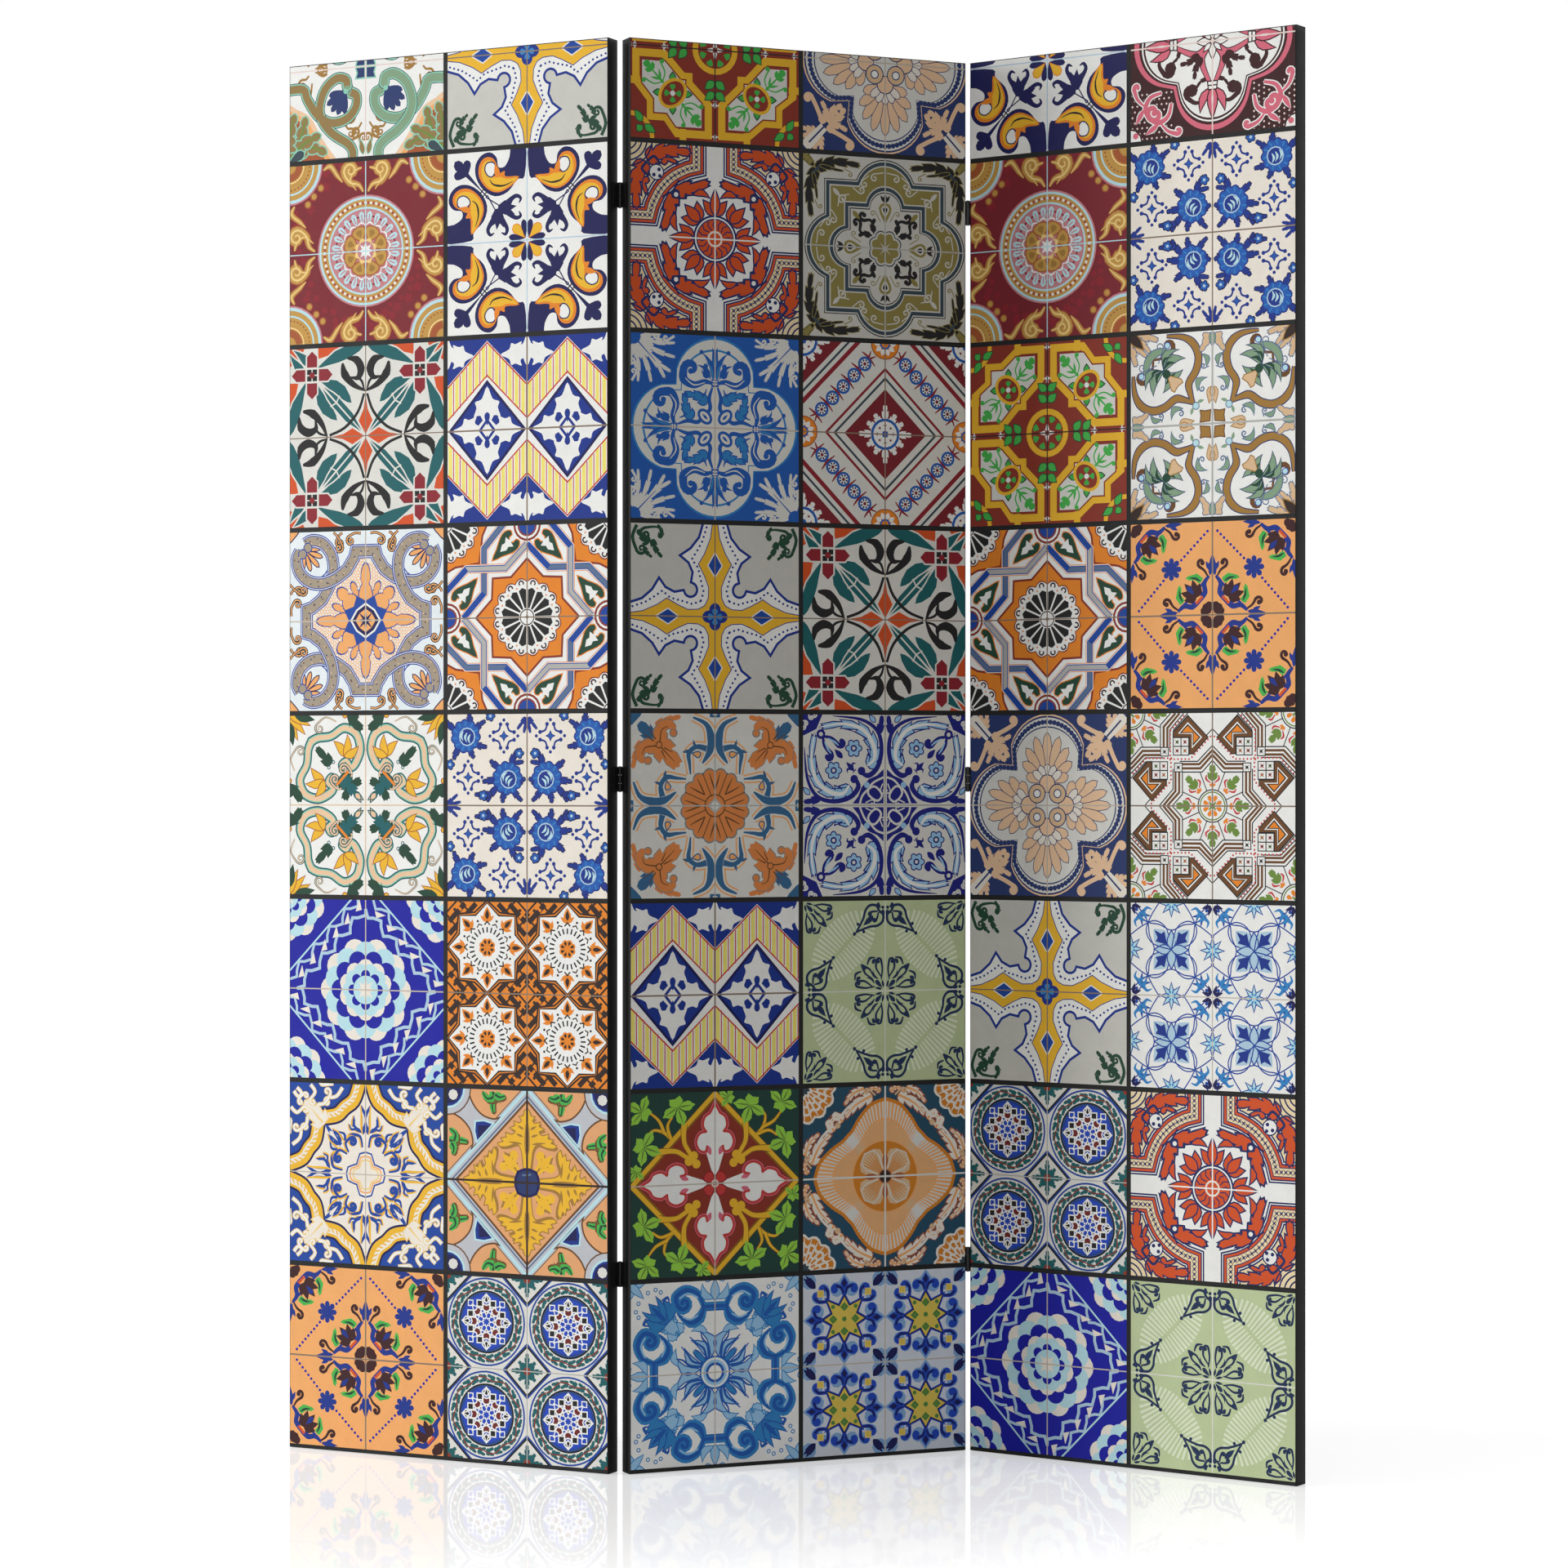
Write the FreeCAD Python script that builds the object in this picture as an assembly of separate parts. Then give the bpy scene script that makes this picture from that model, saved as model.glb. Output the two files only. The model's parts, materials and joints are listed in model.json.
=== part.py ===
import FreeCAD, Part
import os
from FreeCAD import Vector

# A folding screen of three panels. Each panel is a mitred pine stretcher with a printed canvas drawn over its
# front and sides, and a black cloth over its back. Three butt hinges join each pair of panels. The pins stand
# behind the left fold and in front of the right one, so the screen zigzags and packs flat.
# Millimetres and degrees. +Z is up, +X runs along the middle panel to the viewer's right and -Y is its front.
# The origin is the centre of the middle panel's foot.

# Panel
PANEL_WIDTH = 450.0
PANEL_HEIGHT = 1720.0
PANEL_DEPTH = 25.0

# Cloths
CANVAS_THICKNESS = 0.5
HEM_WIDTH = 34.0
BACKING_THICKNESS = 0.4
BACKING_MARGIN = 12.0

# Stretcher bars
BAR_WIDTH = 40.0
BAR_RIM = 10.0
BAR_FALL = 3.0
CROSSBAR_WIDTH = 40.0
CROSSBAR_DEPTH = 16.0
CROSSBARS = ("lower", "upper")

# Corner nails and dowels
NAIL_LEG = 6.0
NAIL_GAUGE = 0.5
NAIL_DEPTH = 10.0
NAILS_PER_CORNER = 2
DOWEL_DIAMETER = 8.0
DOWEL_IN_STILE = 10.0
DOWEL_IN_CROSSBAR = 18.0
DOWEL_SPACING = 20.0
DOWEL_CLEARANCE = 0.05

# Staples
STAPLE_CROWN = 10.0
STAPLE_LEG = 6.0
STAPLE_GAUGE = 0.5
STAPLE_BREADTH = 1.2
STAPLE_CORNER_SPACE = 60.0
HEM_STAPLE_INSET = 7.0
HEM_STAPLE_PITCH = 110.0
BACKING_STAPLE_INSET = 8.0
BACKING_STAPLE_PITCH = 150.0

# Hinges
LOW_HINGE_HEIGHT = 237.0
MIDDLE_HINGE_HEIGHT = 832.0
TOP_HINGE_DROP = 186.0
HINGE_HEIGHT = 30.0
LEAF_WIDTH = 13.0
LEAF_THICKNESS = 1.2
LEAF_CORNER_RADIUS = 2.0
BARREL_DIAMETER = 4.4
PIN_DIAMETER = 2.0
PIN_CLEARANCE = 0.05
PIN_HEAD_DIAMETER = 3.2
PIN_HEAD_HEIGHT = 0.6
KNUCKLE_GAP = 0.2
KNUCKLE_RELIEF = 0.3
AXIS_PROUD = 1.2

# Screws
SCREW_HEAD_DIAMETER = 5.0
SCREW_DIAMETER = 2.6
SCREW_LENGTH = 13.0
SCREW_POINT = 3.0
SCREW_SPACING = 18.0
SCREW_CLEARANCE = 0.05
SCREW_SLOT_LENGTH = 2.6
SCREW_SLOT_WIDTH = 0.6
SCREW_SLOT_DEPTH = 0.8

# How far each side panel stands turned from a straight wall
LEFT_FOLD = 50.0
RIGHT_FOLD = 58.7

WOOD_FRONT = CANVAS_THICKNESS
WOOD_BACK = PANEL_DEPTH - BACKING_THICKNESS - CANVAS_THICKNESS
HEM_FACE = WOOD_BACK + CANVAS_THICKNESS
BAR_INNER_EDGE = CANVAS_THICKNESS + BAR_WIDTH
BARREL_RADIUS = BARREL_DIAMETER / 2
HINGE_CENTRES = {
    "low": LOW_HINGE_HEIGHT,
    "middle": MIDDLE_HINGE_HEIGHT,
    "top": PANEL_HEIGHT - TOP_HINGE_DROP,
}
ORIGIN = Vector(0, 0, 0)
ALONG_X = Vector(1, 0, 0)
ALONG_Y = Vector(0, 1, 0)
UP = Vector(0, 0, 1)


def prism(points, run):
    outline = Part.makePolygon(points + points[:1])
    return Part.Face(outline).extrude(run)


def block(low, high):
    return Part.makeBox(high.x - low.x, high.y - low.y, high.z - low.z, low)


def turned(profile):
    """A solid turned about X from (along, radius) points."""
    points = [Vector(along, radius, 0) for along, radius in profile]
    outline = Part.makePolygon(points + points[:1])
    return Part.Face(outline).revolve(ORIGIN, ALONG_X, 360)


def spread(length, margin, pitch):
    """Places at an even pitch along a length, with the margin left at both ends."""
    gaps = max(1, round((length - 2 * margin) / pitch))
    return [margin + (length - 2 * margin) * i / gaps for i in range(gaps + 1)]


# A panel lies at x 0 to PANEL_WIDTH, y 0 (front) to PANEL_DEPTH (back) and z 0 to PANEL_HEIGHT.
# A place on a side's bar is (along the side, in from the panel's edge, back from the panel's front).
SIDES = {
    "left_stile": lambda along, inward, back: Vector(inward, back, along),
    "right_stile": lambda along, inward, back: Vector(PANEL_WIDTH - inward, back, along),
    "bottom_rail": lambda along, inward, back: Vector(along, back, inward),
    "top_rail": lambda along, inward, back: Vector(along, back, PANEL_HEIGHT - inward),
}
SIDE_LENGTHS = {
    "left_stile": PANEL_HEIGHT,
    "right_stile": PANEL_HEIGHT,
    "bottom_rail": PANEL_WIDTH,
    "top_rail": PANEL_WIDTH,
}


def bar(side):
    """A stretcher bar: a rim that carries the canvas, a face falling away inside it, and mitred ends."""
    spot = SIDES[side]
    rim = CANVAS_THICKNESS
    end = SIDE_LENGTHS[side] - rim
    section = [
        (rim, WOOD_FRONT),
        (rim + BAR_RIM, WOOD_FRONT),
        (BAR_INNER_EDGE, WOOD_FRONT + BAR_FALL),
        (BAR_INNER_EDGE, WOOD_BACK),
        (rim, WOOD_BACK),
    ]
    length = spot(end, 0, 0) - spot(rim, 0, 0)
    blank = prism([spot(rim, inward, back) for inward, back in section], length)
    outline = [
        (rim, rim),
        (end, rim),
        (end - BAR_WIDTH, BAR_INNER_EDGE),
        (rim + BAR_WIDTH, BAR_INNER_EDGE),
    ]
    depth = spot(0, 0, WOOD_BACK) - spot(0, 0, WOOD_FRONT)
    mitred = prism([spot(along, inward, WOOD_FRONT) for along, inward in outline], depth)
    return blank.common(mitred)


def crossbar_height(index):
    return PANEL_HEIGHT * (index + 1) / (len(CROSSBARS) + 1)


def crossbar(height):
    low = Vector(BAR_INNER_EDGE, WOOD_BACK - CROSSBAR_DEPTH, height - CROSSBAR_WIDTH / 2)
    high = Vector(PANEL_WIDTH - BAR_INNER_EDGE, WOOD_BACK, height + CROSSBAR_WIDTH / 2)
    return block(low, high)


def dowels(clearance=0.0):
    """The dowels at the crossbars' ends, or their bores when there is a clearance."""
    radius = DOWEL_DIAMETER / 2 + clearance
    length = DOWEL_IN_STILE + DOWEL_IN_CROSSBAR + 2 * clearance
    back = WOOD_BACK - CROSSBAR_DEPTH / 2
    starts = (BAR_INNER_EDGE - DOWEL_IN_STILE, PANEL_WIDTH - BAR_INNER_EDGE - DOWEL_IN_CROSSBAR)
    made = []
    for index in range(len(CROSSBARS)):
        for offset in (-DOWEL_SPACING / 2, DOWEL_SPACING / 2):
            for start in starts:
                foot = Vector(start - clearance, back, crossbar_height(index) + offset)
                made.append(Part.makeCylinder(radius, length, foot, ALONG_X))
    return made


def corner_nails():
    """V-shaped nails across each mitre, driven flush with the bars' backs, with the points of the V outward."""
    made = []
    for number in range(NAILS_PER_CORNER):
        middle = CANVAS_THICKNESS + BAR_WIDTH * (number + 1) / (NAILS_PER_CORNER + 1)
        tip = middle - NAIL_LEG / 2
        end = tip + NAIL_LEG
        inside = tip + NAIL_GAUGE
        section = [(tip, tip), (end, tip), (end, inside), (inside, inside), (inside, end), (tip, end)]
        for right in (False, True):
            for top in (False, True):
                points = []
                for x, z in section:
                    across = PANEL_WIDTH - x if right else x
                    height = PANEL_HEIGHT - z if top else z
                    points.append(Vector(across, WOOD_BACK - NAIL_DEPTH, height))
                made.append(prism(points, ALONG_Y * NAIL_DEPTH))
    return made


def staple(spot, along, inward, seat):
    """A staple whose crown lies along a side on a face at the seat, with both legs driven forward."""
    out = STAPLE_CROWN / 2
    within = out - STAPLE_GAUGE
    section = [
        (-out, seat + STAPLE_GAUGE),
        (out, seat + STAPLE_GAUGE),
        (out, seat - STAPLE_LEG),
        (within, seat - STAPLE_LEG),
        (within, seat),
        (-within, seat),
        (-within, seat - STAPLE_LEG),
        (-out, seat - STAPLE_LEG),
    ]
    edge = inward - STAPLE_BREADTH / 2
    breadth = spot(0, STAPLE_BREADTH, 0) - spot(0, 0, 0)
    return prism([spot(along + offset, edge, back) for offset, back in section], breadth)


def staples(inset, pitch, seat):
    made = []
    for side, spot in SIDES.items():
        for along in spread(SIDE_LENGTHS[side], STAPLE_CORNER_SPACE, pitch):
            made.append(staple(spot, along, inset, seat))
    return made


def canvas():
    """The printed cloth: the front, the four sides and the hem turned in on the bars' backs."""
    skin = CANVAS_THICKNESS
    outside = block(ORIGIN, Vector(PANEL_WIDTH, HEM_FACE, PANEL_HEIGHT))
    inside = block(
        Vector(skin, WOOD_FRONT, skin),
        Vector(PANEL_WIDTH - skin, WOOD_BACK, PANEL_HEIGHT - skin),
    )
    window = block(
        Vector(HEM_WIDTH, WOOD_BACK, HEM_WIDTH),
        Vector(PANEL_WIDTH - HEM_WIDTH, HEM_FACE, PANEL_HEIGHT - HEM_WIDTH),
    )
    return outside.cut(inside).cut(window)


def backing_cloth():
    return block(
        Vector(BACKING_MARGIN, HEM_FACE, BACKING_MARGIN),
        Vector(PANEL_WIDTH - BACKING_MARGIN, PANEL_DEPTH, PANEL_HEIGHT - BACKING_MARGIN),
    )


# A hinge has its pin along Z at the origin, its middle at z 0 and its panel's edge at x BARREL_RADIUS.
# The leaf lies on that edge and runs in +Y. Mirrored copies serve the other panels.
KNUCKLE_HEIGHT = (HINGE_HEIGHT - 2 * KNUCKLE_GAP) / 3
HINGE_TOP = HINGE_HEIGHT / 2
CENTRE_KNUCKLE = [(-KNUCKLE_HEIGHT / 2, KNUCKLE_HEIGHT / 2)]
SIDE_KNUCKLES = [(-HINGE_TOP, KNUCKLE_HEIGHT - HINGE_TOP), (HINGE_TOP - KNUCKLE_HEIGHT, HINGE_TOP)]
SCREW_ROW = (BARREL_RADIUS + KNUCKLE_RELIEF + LEAF_WIDTH) / 2
LEAF_FACE = BARREL_RADIUS - LEAF_THICKNESS


def along_pin(radius, span):
    low, high = span
    return Part.makeCylinder(radius, high - low, Vector(0, 0, low), UP)


def screw_blank(clearance=0.0):
    """A countersunk screw's outline, turned; with a clearance, the hole that it goes in."""
    shank = SCREW_DIAMETER / 2
    head = SCREW_HEAD_DIAMETER / 2
    neck = LEAF_FACE + head - shank
    tip = LEAF_FACE + SCREW_LENGTH
    profile = [
        (LEAF_FACE, 0),
        (LEAF_FACE, head),
        (neck, shank + clearance),
        (tip - SCREW_POINT, shank + clearance),
        (tip + clearance, 0),
    ]
    return turned(profile)


def screws(clearance=0.0):
    made = []
    for height in (-SCREW_SPACING / 2, SCREW_SPACING / 2):
        made.append(screw_blank(clearance).translated(Vector(0, SCREW_ROW, height)))
    return made


def slotted(screw):
    """Cut a cross slot in a screw's head."""
    centre = Vector(LEAF_FACE, screw.BoundBox.Center.y, screw.BoundBox.Center.z)
    long = SCREW_SLOT_LENGTH / 2
    short = SCREW_SLOT_WIDTH / 2
    for across, tall in ((long, short), (short, long)):
        low = centre + Vector(0, -across, -tall)
        high = centre + Vector(SCREW_SLOT_DEPTH, across, tall)
        screw = screw.cut(block(low, high))
    return screw


def leaf(knuckles, others, bore_clearance):
    """A hinge leaf with its own knuckles, cut away round the other leaf's."""
    plate = block(
        Vector(LEAF_FACE, 0, -HINGE_TOP),
        Vector(BARREL_RADIUS, LEAF_WIDTH, HINGE_TOP),
    )
    free_corners = []
    for edge in plate.Edges:
        middle = edge.CenterOfMass
        if middle.y > LEAF_WIDTH * 0.99 and abs(middle.z) > HINGE_TOP * 0.99:
            free_corners.append(edge)
    plate = plate.makeFillet(LEAF_CORNER_RADIUS, free_corners)
    for low, high in others:
        room = (low - KNUCKLE_GAP, high + KNUCKLE_GAP)
        plate = plate.cut(along_pin(BARREL_RADIUS + KNUCKLE_RELIEF, room))
    for span in knuckles:
        plate = plate.fuse(along_pin(BARREL_RADIUS, span))
    plate = plate.removeSplitter()
    bore = along_pin(PIN_DIAMETER / 2 + bore_clearance, (-HINGE_HEIGHT, HINGE_HEIGHT))
    return plate.cut(Part.makeCompound([bore] + screws(SCREW_CLEARANCE)))


def pin():
    """A rivet pin with a head at each end."""
    rod = along_pin(PIN_DIAMETER / 2, (-HINGE_TOP, HINGE_TOP))
    low_head = along_pin(PIN_HEAD_DIAMETER / 2, (-HINGE_TOP - PIN_HEAD_HEIGHT, -HINGE_TOP))
    high_head = along_pin(PIN_HEAD_DIAMETER / 2, (HINGE_TOP, HINGE_TOP + PIN_HEAD_HEIGHT))
    return rod.fuse([low_head, high_head]).removeSplitter()


# Where each panel carries hinges: which fold, its pin in the panel's frame, the way from the pin to the panel
# along X and the way the leaf runs along Y.
BACK_PIN = PANEL_DEPTH + AXIS_PROUD
FRONT_PIN = -AXIS_PROUD
HINGE_EDGES = {
    "left": [("left", PANEL_WIDTH + BARREL_RADIUS, BACK_PIN, -1, -1)],
    "middle": [
        ("left", -BARREL_RADIUS, BACK_PIN, 1, -1),
        ("right", PANEL_WIDTH + BARREL_RADIUS, FRONT_PIN, -1, 1),
    ],
    "right": [("right", -BARREL_RADIUS, FRONT_PIN, 1, 1)],
}


def seated(shape, edge, height):
    """A hinge piece moved to a panel's edge, mirrored to suit it."""
    fold, across, back, toward_x, toward_y = edge
    if toward_x < 0:
        shape = shape.mirror(ORIGIN, ALONG_X)
    if toward_y < 0:
        shape = shape.mirror(ORIGIN, ALONG_Y)
    return shape.translated(Vector(across, back, height))


def panel_pieces(panel):
    """Every piece of one panel with its hinge halves, in the panel's own frame, by node name."""
    bores = []
    screw_solids = []
    pieces = {}
    for edge in HINGE_EDGES[panel]:
        fold = edge[0]
        for level, height in HINGE_CENTRES.items():
            name = f"{fold}_{level}_hinge"
            if panel == "middle":
                own_leaf = leaf(CENTRE_KNUCKLE, SIDE_KNUCKLES, PIN_CLEARANCE)
                pieces[f"{name}_centre_leaf"] = seated(own_leaf, edge, height)
            else:
                own_leaf = leaf(SIDE_KNUCKLES, CENTRE_KNUCKLE, 0.0)
                pieces[f"{name}_side_leaf"] = seated(own_leaf, edge, height)
                pieces[f"{name}_pin"] = seated(pin(), edge, height)
            bores += [seated(hole, edge, height) for hole in screws(SCREW_CLEARANCE)]
            screw_solids += [seated(slotted(screw), edge, height) for screw in screws()]
    pieces[f"{panel}_screws"] = Part.makeCompound(screw_solids)

    hem_staples = staples(HEM_WIDTH - HEM_STAPLE_INSET, HEM_STAPLE_PITCH, WOOD_BACK)
    inset = BACKING_MARGIN + BACKING_STAPLE_INSET
    backing_staples = staples(inset, BACKING_STAPLE_PITCH, PANEL_DEPTH)
    nails = corner_nails()
    through_cloth = Part.makeCompound(bores + hem_staples + backing_staples)
    through_wood = Part.makeCompound(bores + hem_staples + backing_staples + nails)
    dowel_bores = Part.makeCompound(dowels(DOWEL_CLEARANCE))
    for side in SIDES:
        pieces[f"{panel}_{side}"] = bar(side).cut(through_wood).cut(dowel_bores)
    for index, level in enumerate(CROSSBARS):
        pieces[f"{panel}_{level}_crossbar"] = crossbar(crossbar_height(index)).cut(dowel_bores)
    pieces[f"{panel}_dowels"] = Part.makeCompound(dowels())
    pieces[f"{panel}_corner_nails"] = Part.makeCompound(nails)
    pieces[f"{panel}_canvas"] = canvas().cut(through_cloth)
    pieces[f"{panel}_canvas_staples"] = Part.makeCompound(hem_staples)
    pieces[f"{panel}_backing_cloth"] = backing_cloth().cut(through_cloth)
    pieces[f"{panel}_backing_staples"] = Part.makeCompound(backing_staples)
    return pieces


# The panels are set out as a straight wall and the outer two are then turned about their pins.
MIDDLE_CORNER = Vector(-PANEL_WIDTH / 2, -PANEL_DEPTH / 2, 0)
NEXT_PANEL = Vector(PANEL_WIDTH + BARREL_DIAMETER, 0, 0)
LEFT_PIN = MIDDLE_CORNER + Vector(-BARREL_RADIUS, BACK_PIN, 0)
RIGHT_PIN = MIDDLE_CORNER + Vector(PANEL_WIDTH + BARREL_RADIUS, FRONT_PIN, 0)
STANDING = {
    "left": (MIDDLE_CORNER - NEXT_PANEL, LEFT_PIN, -LEFT_FOLD),
    "middle": (MIDDLE_CORNER, ORIGIN, 0.0),
    "right": (MIDDLE_CORNER + NEXT_PANEL, RIGHT_PIN, -RIGHT_FOLD),
}

os.makedirs("parts", exist_ok=True)
for panel, (corner, axis, turn) in STANDING.items():
    for node, shape in panel_pieces(panel).items():
        standing = shape.translated(corner)
        standing.rotate(axis, UP, turn)
        standing.exportStep(f"parts/{node}.step")
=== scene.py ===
import cmath
import json
import math

import bmesh
import bpy
from mathutils import Matrix, Vector, noise
from mathutils.bvhtree import BVHTree
from mathutils.geometry import delaunay_2d_cdt

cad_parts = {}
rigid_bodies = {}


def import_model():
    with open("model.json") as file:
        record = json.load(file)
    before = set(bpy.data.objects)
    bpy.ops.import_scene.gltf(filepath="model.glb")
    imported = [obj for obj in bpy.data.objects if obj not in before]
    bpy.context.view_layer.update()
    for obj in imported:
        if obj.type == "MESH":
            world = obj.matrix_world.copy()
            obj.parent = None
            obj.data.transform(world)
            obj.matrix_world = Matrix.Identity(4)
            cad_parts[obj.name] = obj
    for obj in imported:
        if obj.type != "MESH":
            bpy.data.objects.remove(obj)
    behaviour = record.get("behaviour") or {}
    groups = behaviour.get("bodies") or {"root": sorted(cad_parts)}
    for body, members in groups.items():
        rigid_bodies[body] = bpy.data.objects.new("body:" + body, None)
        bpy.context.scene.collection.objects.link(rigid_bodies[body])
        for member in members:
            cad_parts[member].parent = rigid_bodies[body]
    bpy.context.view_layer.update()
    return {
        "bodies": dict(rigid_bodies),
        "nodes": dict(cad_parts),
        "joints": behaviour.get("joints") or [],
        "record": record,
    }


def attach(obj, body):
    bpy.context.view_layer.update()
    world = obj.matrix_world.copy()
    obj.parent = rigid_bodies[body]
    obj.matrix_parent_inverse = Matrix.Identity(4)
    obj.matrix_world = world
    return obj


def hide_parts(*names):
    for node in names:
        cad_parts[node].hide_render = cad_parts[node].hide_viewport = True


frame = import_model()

# Stretcher bars and crossbars. Planed pine, mitred and V-nailed at the corners, with two doweled crossbars
# in each panel. They are closed in by the canvas and the backing cloth.
# Each panel is 450 by 1720 by 25 mm, and the outer two are turned about their hinge pins.
PANEL_WIDTH = 0.450
PANEL_HEIGHT = 1.720
PANEL_DEPTH = 0.025
HINGE_BARREL = 0.0044
PIN_PROUD = 0.0012
LEFT_FOLD = 50.0
RIGHT_FOLD = 58.7


def standing(corner_x, pin_x, pin_y, turn):
    """The place of a panel, from its own lower left front corner, turned about a hinge pin."""
    pin = Matrix.Translation((pin_x, pin_y, 0))
    spun = Matrix.Rotation(math.radians(turn), 4, "Z")
    return pin @ spun @ pin.inverted() @ Matrix.Translation((corner_x, -PANEL_DEPTH / 2, 0))


pin_side = PANEL_WIDTH / 2 + HINGE_BARREL / 2
pin_back = PANEL_DEPTH / 2 + PIN_PROUD
next_panel = PANEL_WIDTH + HINGE_BARREL
PLACES = {
    "left": standing(-PANEL_WIDTH / 2 - next_panel, -pin_side, pin_back, -LEFT_FOLD),
    "middle": standing(-PANEL_WIDTH / 2, 0, 0, 0),
    "right": standing(-PANEL_WIDTH / 2 + next_panel, pin_side, -pin_back, -RIGHT_FOLD),
}


class Shade:
    """A socket of a material's nodes. Sums and products of shades add their own nodes."""

    def __init__(self, tree, socket=None):
        self.tree = tree
        self.socket = socket

    def node(self, kind, settings=None, sockets=None, output=0):
        made = self.tree.nodes.new(kind)
        for name, value in (settings or {}).items():
            if name == "stops":
                self.set_stops(made.color_ramp.elements, value)
            else:
                setattr(made, name, value)
        for name, value in (sockets or {}).items():
            if isinstance(value, Shade):
                self.tree.links.new(value.socket, made.inputs[name])
            else:
                made.inputs[name].default_value = value
        return Shade(self.tree, made.outputs[output] if made.outputs else None)

    def set_stops(self, elements, stops):
        while len(elements) < len(stops):
            elements.new(1.0)
        for element, (place, shade) in zip(elements, stops):
            element.position = place
            element.color = (shade, shade, shade, 1.0)

    def maths(self, operation, first, second=0.0):
        return self.node("ShaderNodeMath", {"operation": operation}, {0: first, 1: second})

    def __add__(self, other):
        return self.maths("ADD", self, other)

    def __radd__(self, other):
        return self.maths("ADD", other, self)

    def __sub__(self, other):
        return self.maths("SUBTRACT", self, other)

    def __rsub__(self, other):
        return self.maths("SUBTRACT", other, self)

    def __mul__(self, other):
        return self.maths("MULTIPLY", self, other)

    def __rmul__(self, other):
        return self.maths("MULTIPLY", other, self)

    def mixed(self, low, high):
        """A colour between two colours, by this value."""
        settings = {"data_type": "RGBA", "clamp_factor": True}
        return self.node("ShaderNodeMix", settings, {0: self, 6: low, 7: high}, 2)


def new_finish(name):
    """An empty material and the start of its nodes."""
    material = bpy.data.materials.new(name)
    material.use_nodes = True
    material.node_tree.nodes.clear()
    return material, Shade(material.node_tree)


def close_finish(start, sockets, height=None, depth=0.0002):
    """Set a material's surface, with a bump from a height where there is one."""
    if height is not None:
        bump = {"Height": height, "Distance": depth, "Strength": 1.0}
        sockets["Normal"] = start.node("ShaderNodeBump", {}, bump)
    surface = start.node("ShaderNodeBsdfPrincipled", {}, sockets)
    start.node("ShaderNodeOutputMaterial", {}, {"Surface": surface})


def colour(code, alpha=1.0):
    """A linear colour from the usual six-figure code."""
    channels = [int(code[i:i + 2], 16) / 255 for i in (1, 3, 5)]
    linear = [c / 12.92 if c <= 0.04045 else ((c + 0.055) / 1.055) ** 2.4 for c in channels]
    return (*linear, alpha)


def wear_finish(node, material):
    """Put one material on a piece of the frame."""
    cad_piece = frame["nodes"][node]
    cad_piece.data.materials.clear()
    cad_piece.data.materials.append(material)


def pine_finish(name, turn, across):
    """Pine with its grain along the bar, which a panel's turn is taken out of first."""
    material, start = new_finish(name)
    place = start.node("ShaderNodeTexCoord", output="Object")
    squared = start.node("ShaderNodeVectorRotate", {"rotation_type": "Z_AXIS"},
                         {"Vector": place, "Angle": math.radians(turn)})
    stretch = (3.0, 40.0, 40.0) if across else (40.0, 40.0, 3.0)
    drawn = start.node("ShaderNodeVectorMath", {"operation": "MULTIPLY"}, {0: squared, 1: stretch})
    wavy = {"Vector": drawn, "Scale": 4.0, "Detail": 5.0, "Distortion": 0.6}
    grain = start.node("ShaderNodeTexNoise", {}, wavy)
    late = start.node("ShaderNodeValToRGB", {"stops": [(0.4, 0.0), (0.62, 1.0)]}, {"Fac": grain})
    specks = start.node("ShaderNodeTexNoise", {}, {"Vector": drawn, "Scale": 40.0, "Detail": 2.0})
    wood = late.mixed(colour("#e3c79a"), colour("#c4955c"))
    wood = (specks * 0.25).mixed(wood, colour("#9c6f3f"))
    close_finish(start, {"Base Color": wood, "Roughness": 0.5 + specks * 0.25}, late + specks, 0.00012)
    return material


for panel, turn in (("left", LEFT_FOLD), ("middle", 0.0), ("right", RIGHT_FOLD)):
    upright = pine_finish(f"{panel}_upright_pine", turn, False)
    lying = pine_finish(f"{panel}_lying_pine", turn, True)
    for bar in ("left_stile", "right_stile"):
        wear_finish(f"{panel}_{bar}", upright)
    for bar in ("bottom_rail", "top_rail", "lower_crossbar", "upper_crossbar"):
        wear_finish(f"{panel}_{bar}", lying)

# Dowels and corner nails. Grooved beech dowels are glued in the crossbars' ends, and blued V nails
# are driven across each mitre, flush with the bars' backs.
def mottled(start, scale, detail, roughness=0.5):
    """Even noise over a piece."""
    place = start.node("ShaderNodeTexCoord", output="Object")
    sockets = {"Vector": place, "Scale": scale, "Detail": detail, "Roughness": roughness}
    return start.node("ShaderNodeTexNoise", {}, sockets)


def mottled_finish(name, scale, detail, colours, metal, gloss, depth):
    """A finish with one noise in its colour, its gloss and its surface."""
    material, start = new_finish(name)
    mottle = mottled(start, scale, detail)
    low, high = [colour(code) for code in colours]
    rough = gloss[0] + mottle * gloss[1]
    sockets = {"Base Color": mottle.mixed(low, high), "Metallic": metal, "Roughness": rough}
    close_finish(start, sockets, mottle, depth)
    return material


beech = mottled_finish("beech_dowel", 900.0, 3.0, ("#e0bd92", "#b98a5c"), 0.0, (0.55, 0.2), 0.0001)
blued_steel = mottled_finish("blued_steel", 400.0, 4.0, ("#5d646d", "#8d929a"), 1.0, (0.3, 0.25), 0.00003)
for panel in PLACES:
    wear_finish(f"{panel}_dowels", beech)
    wear_finish(f"{panel}_corner_nails", blued_steel)

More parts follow.
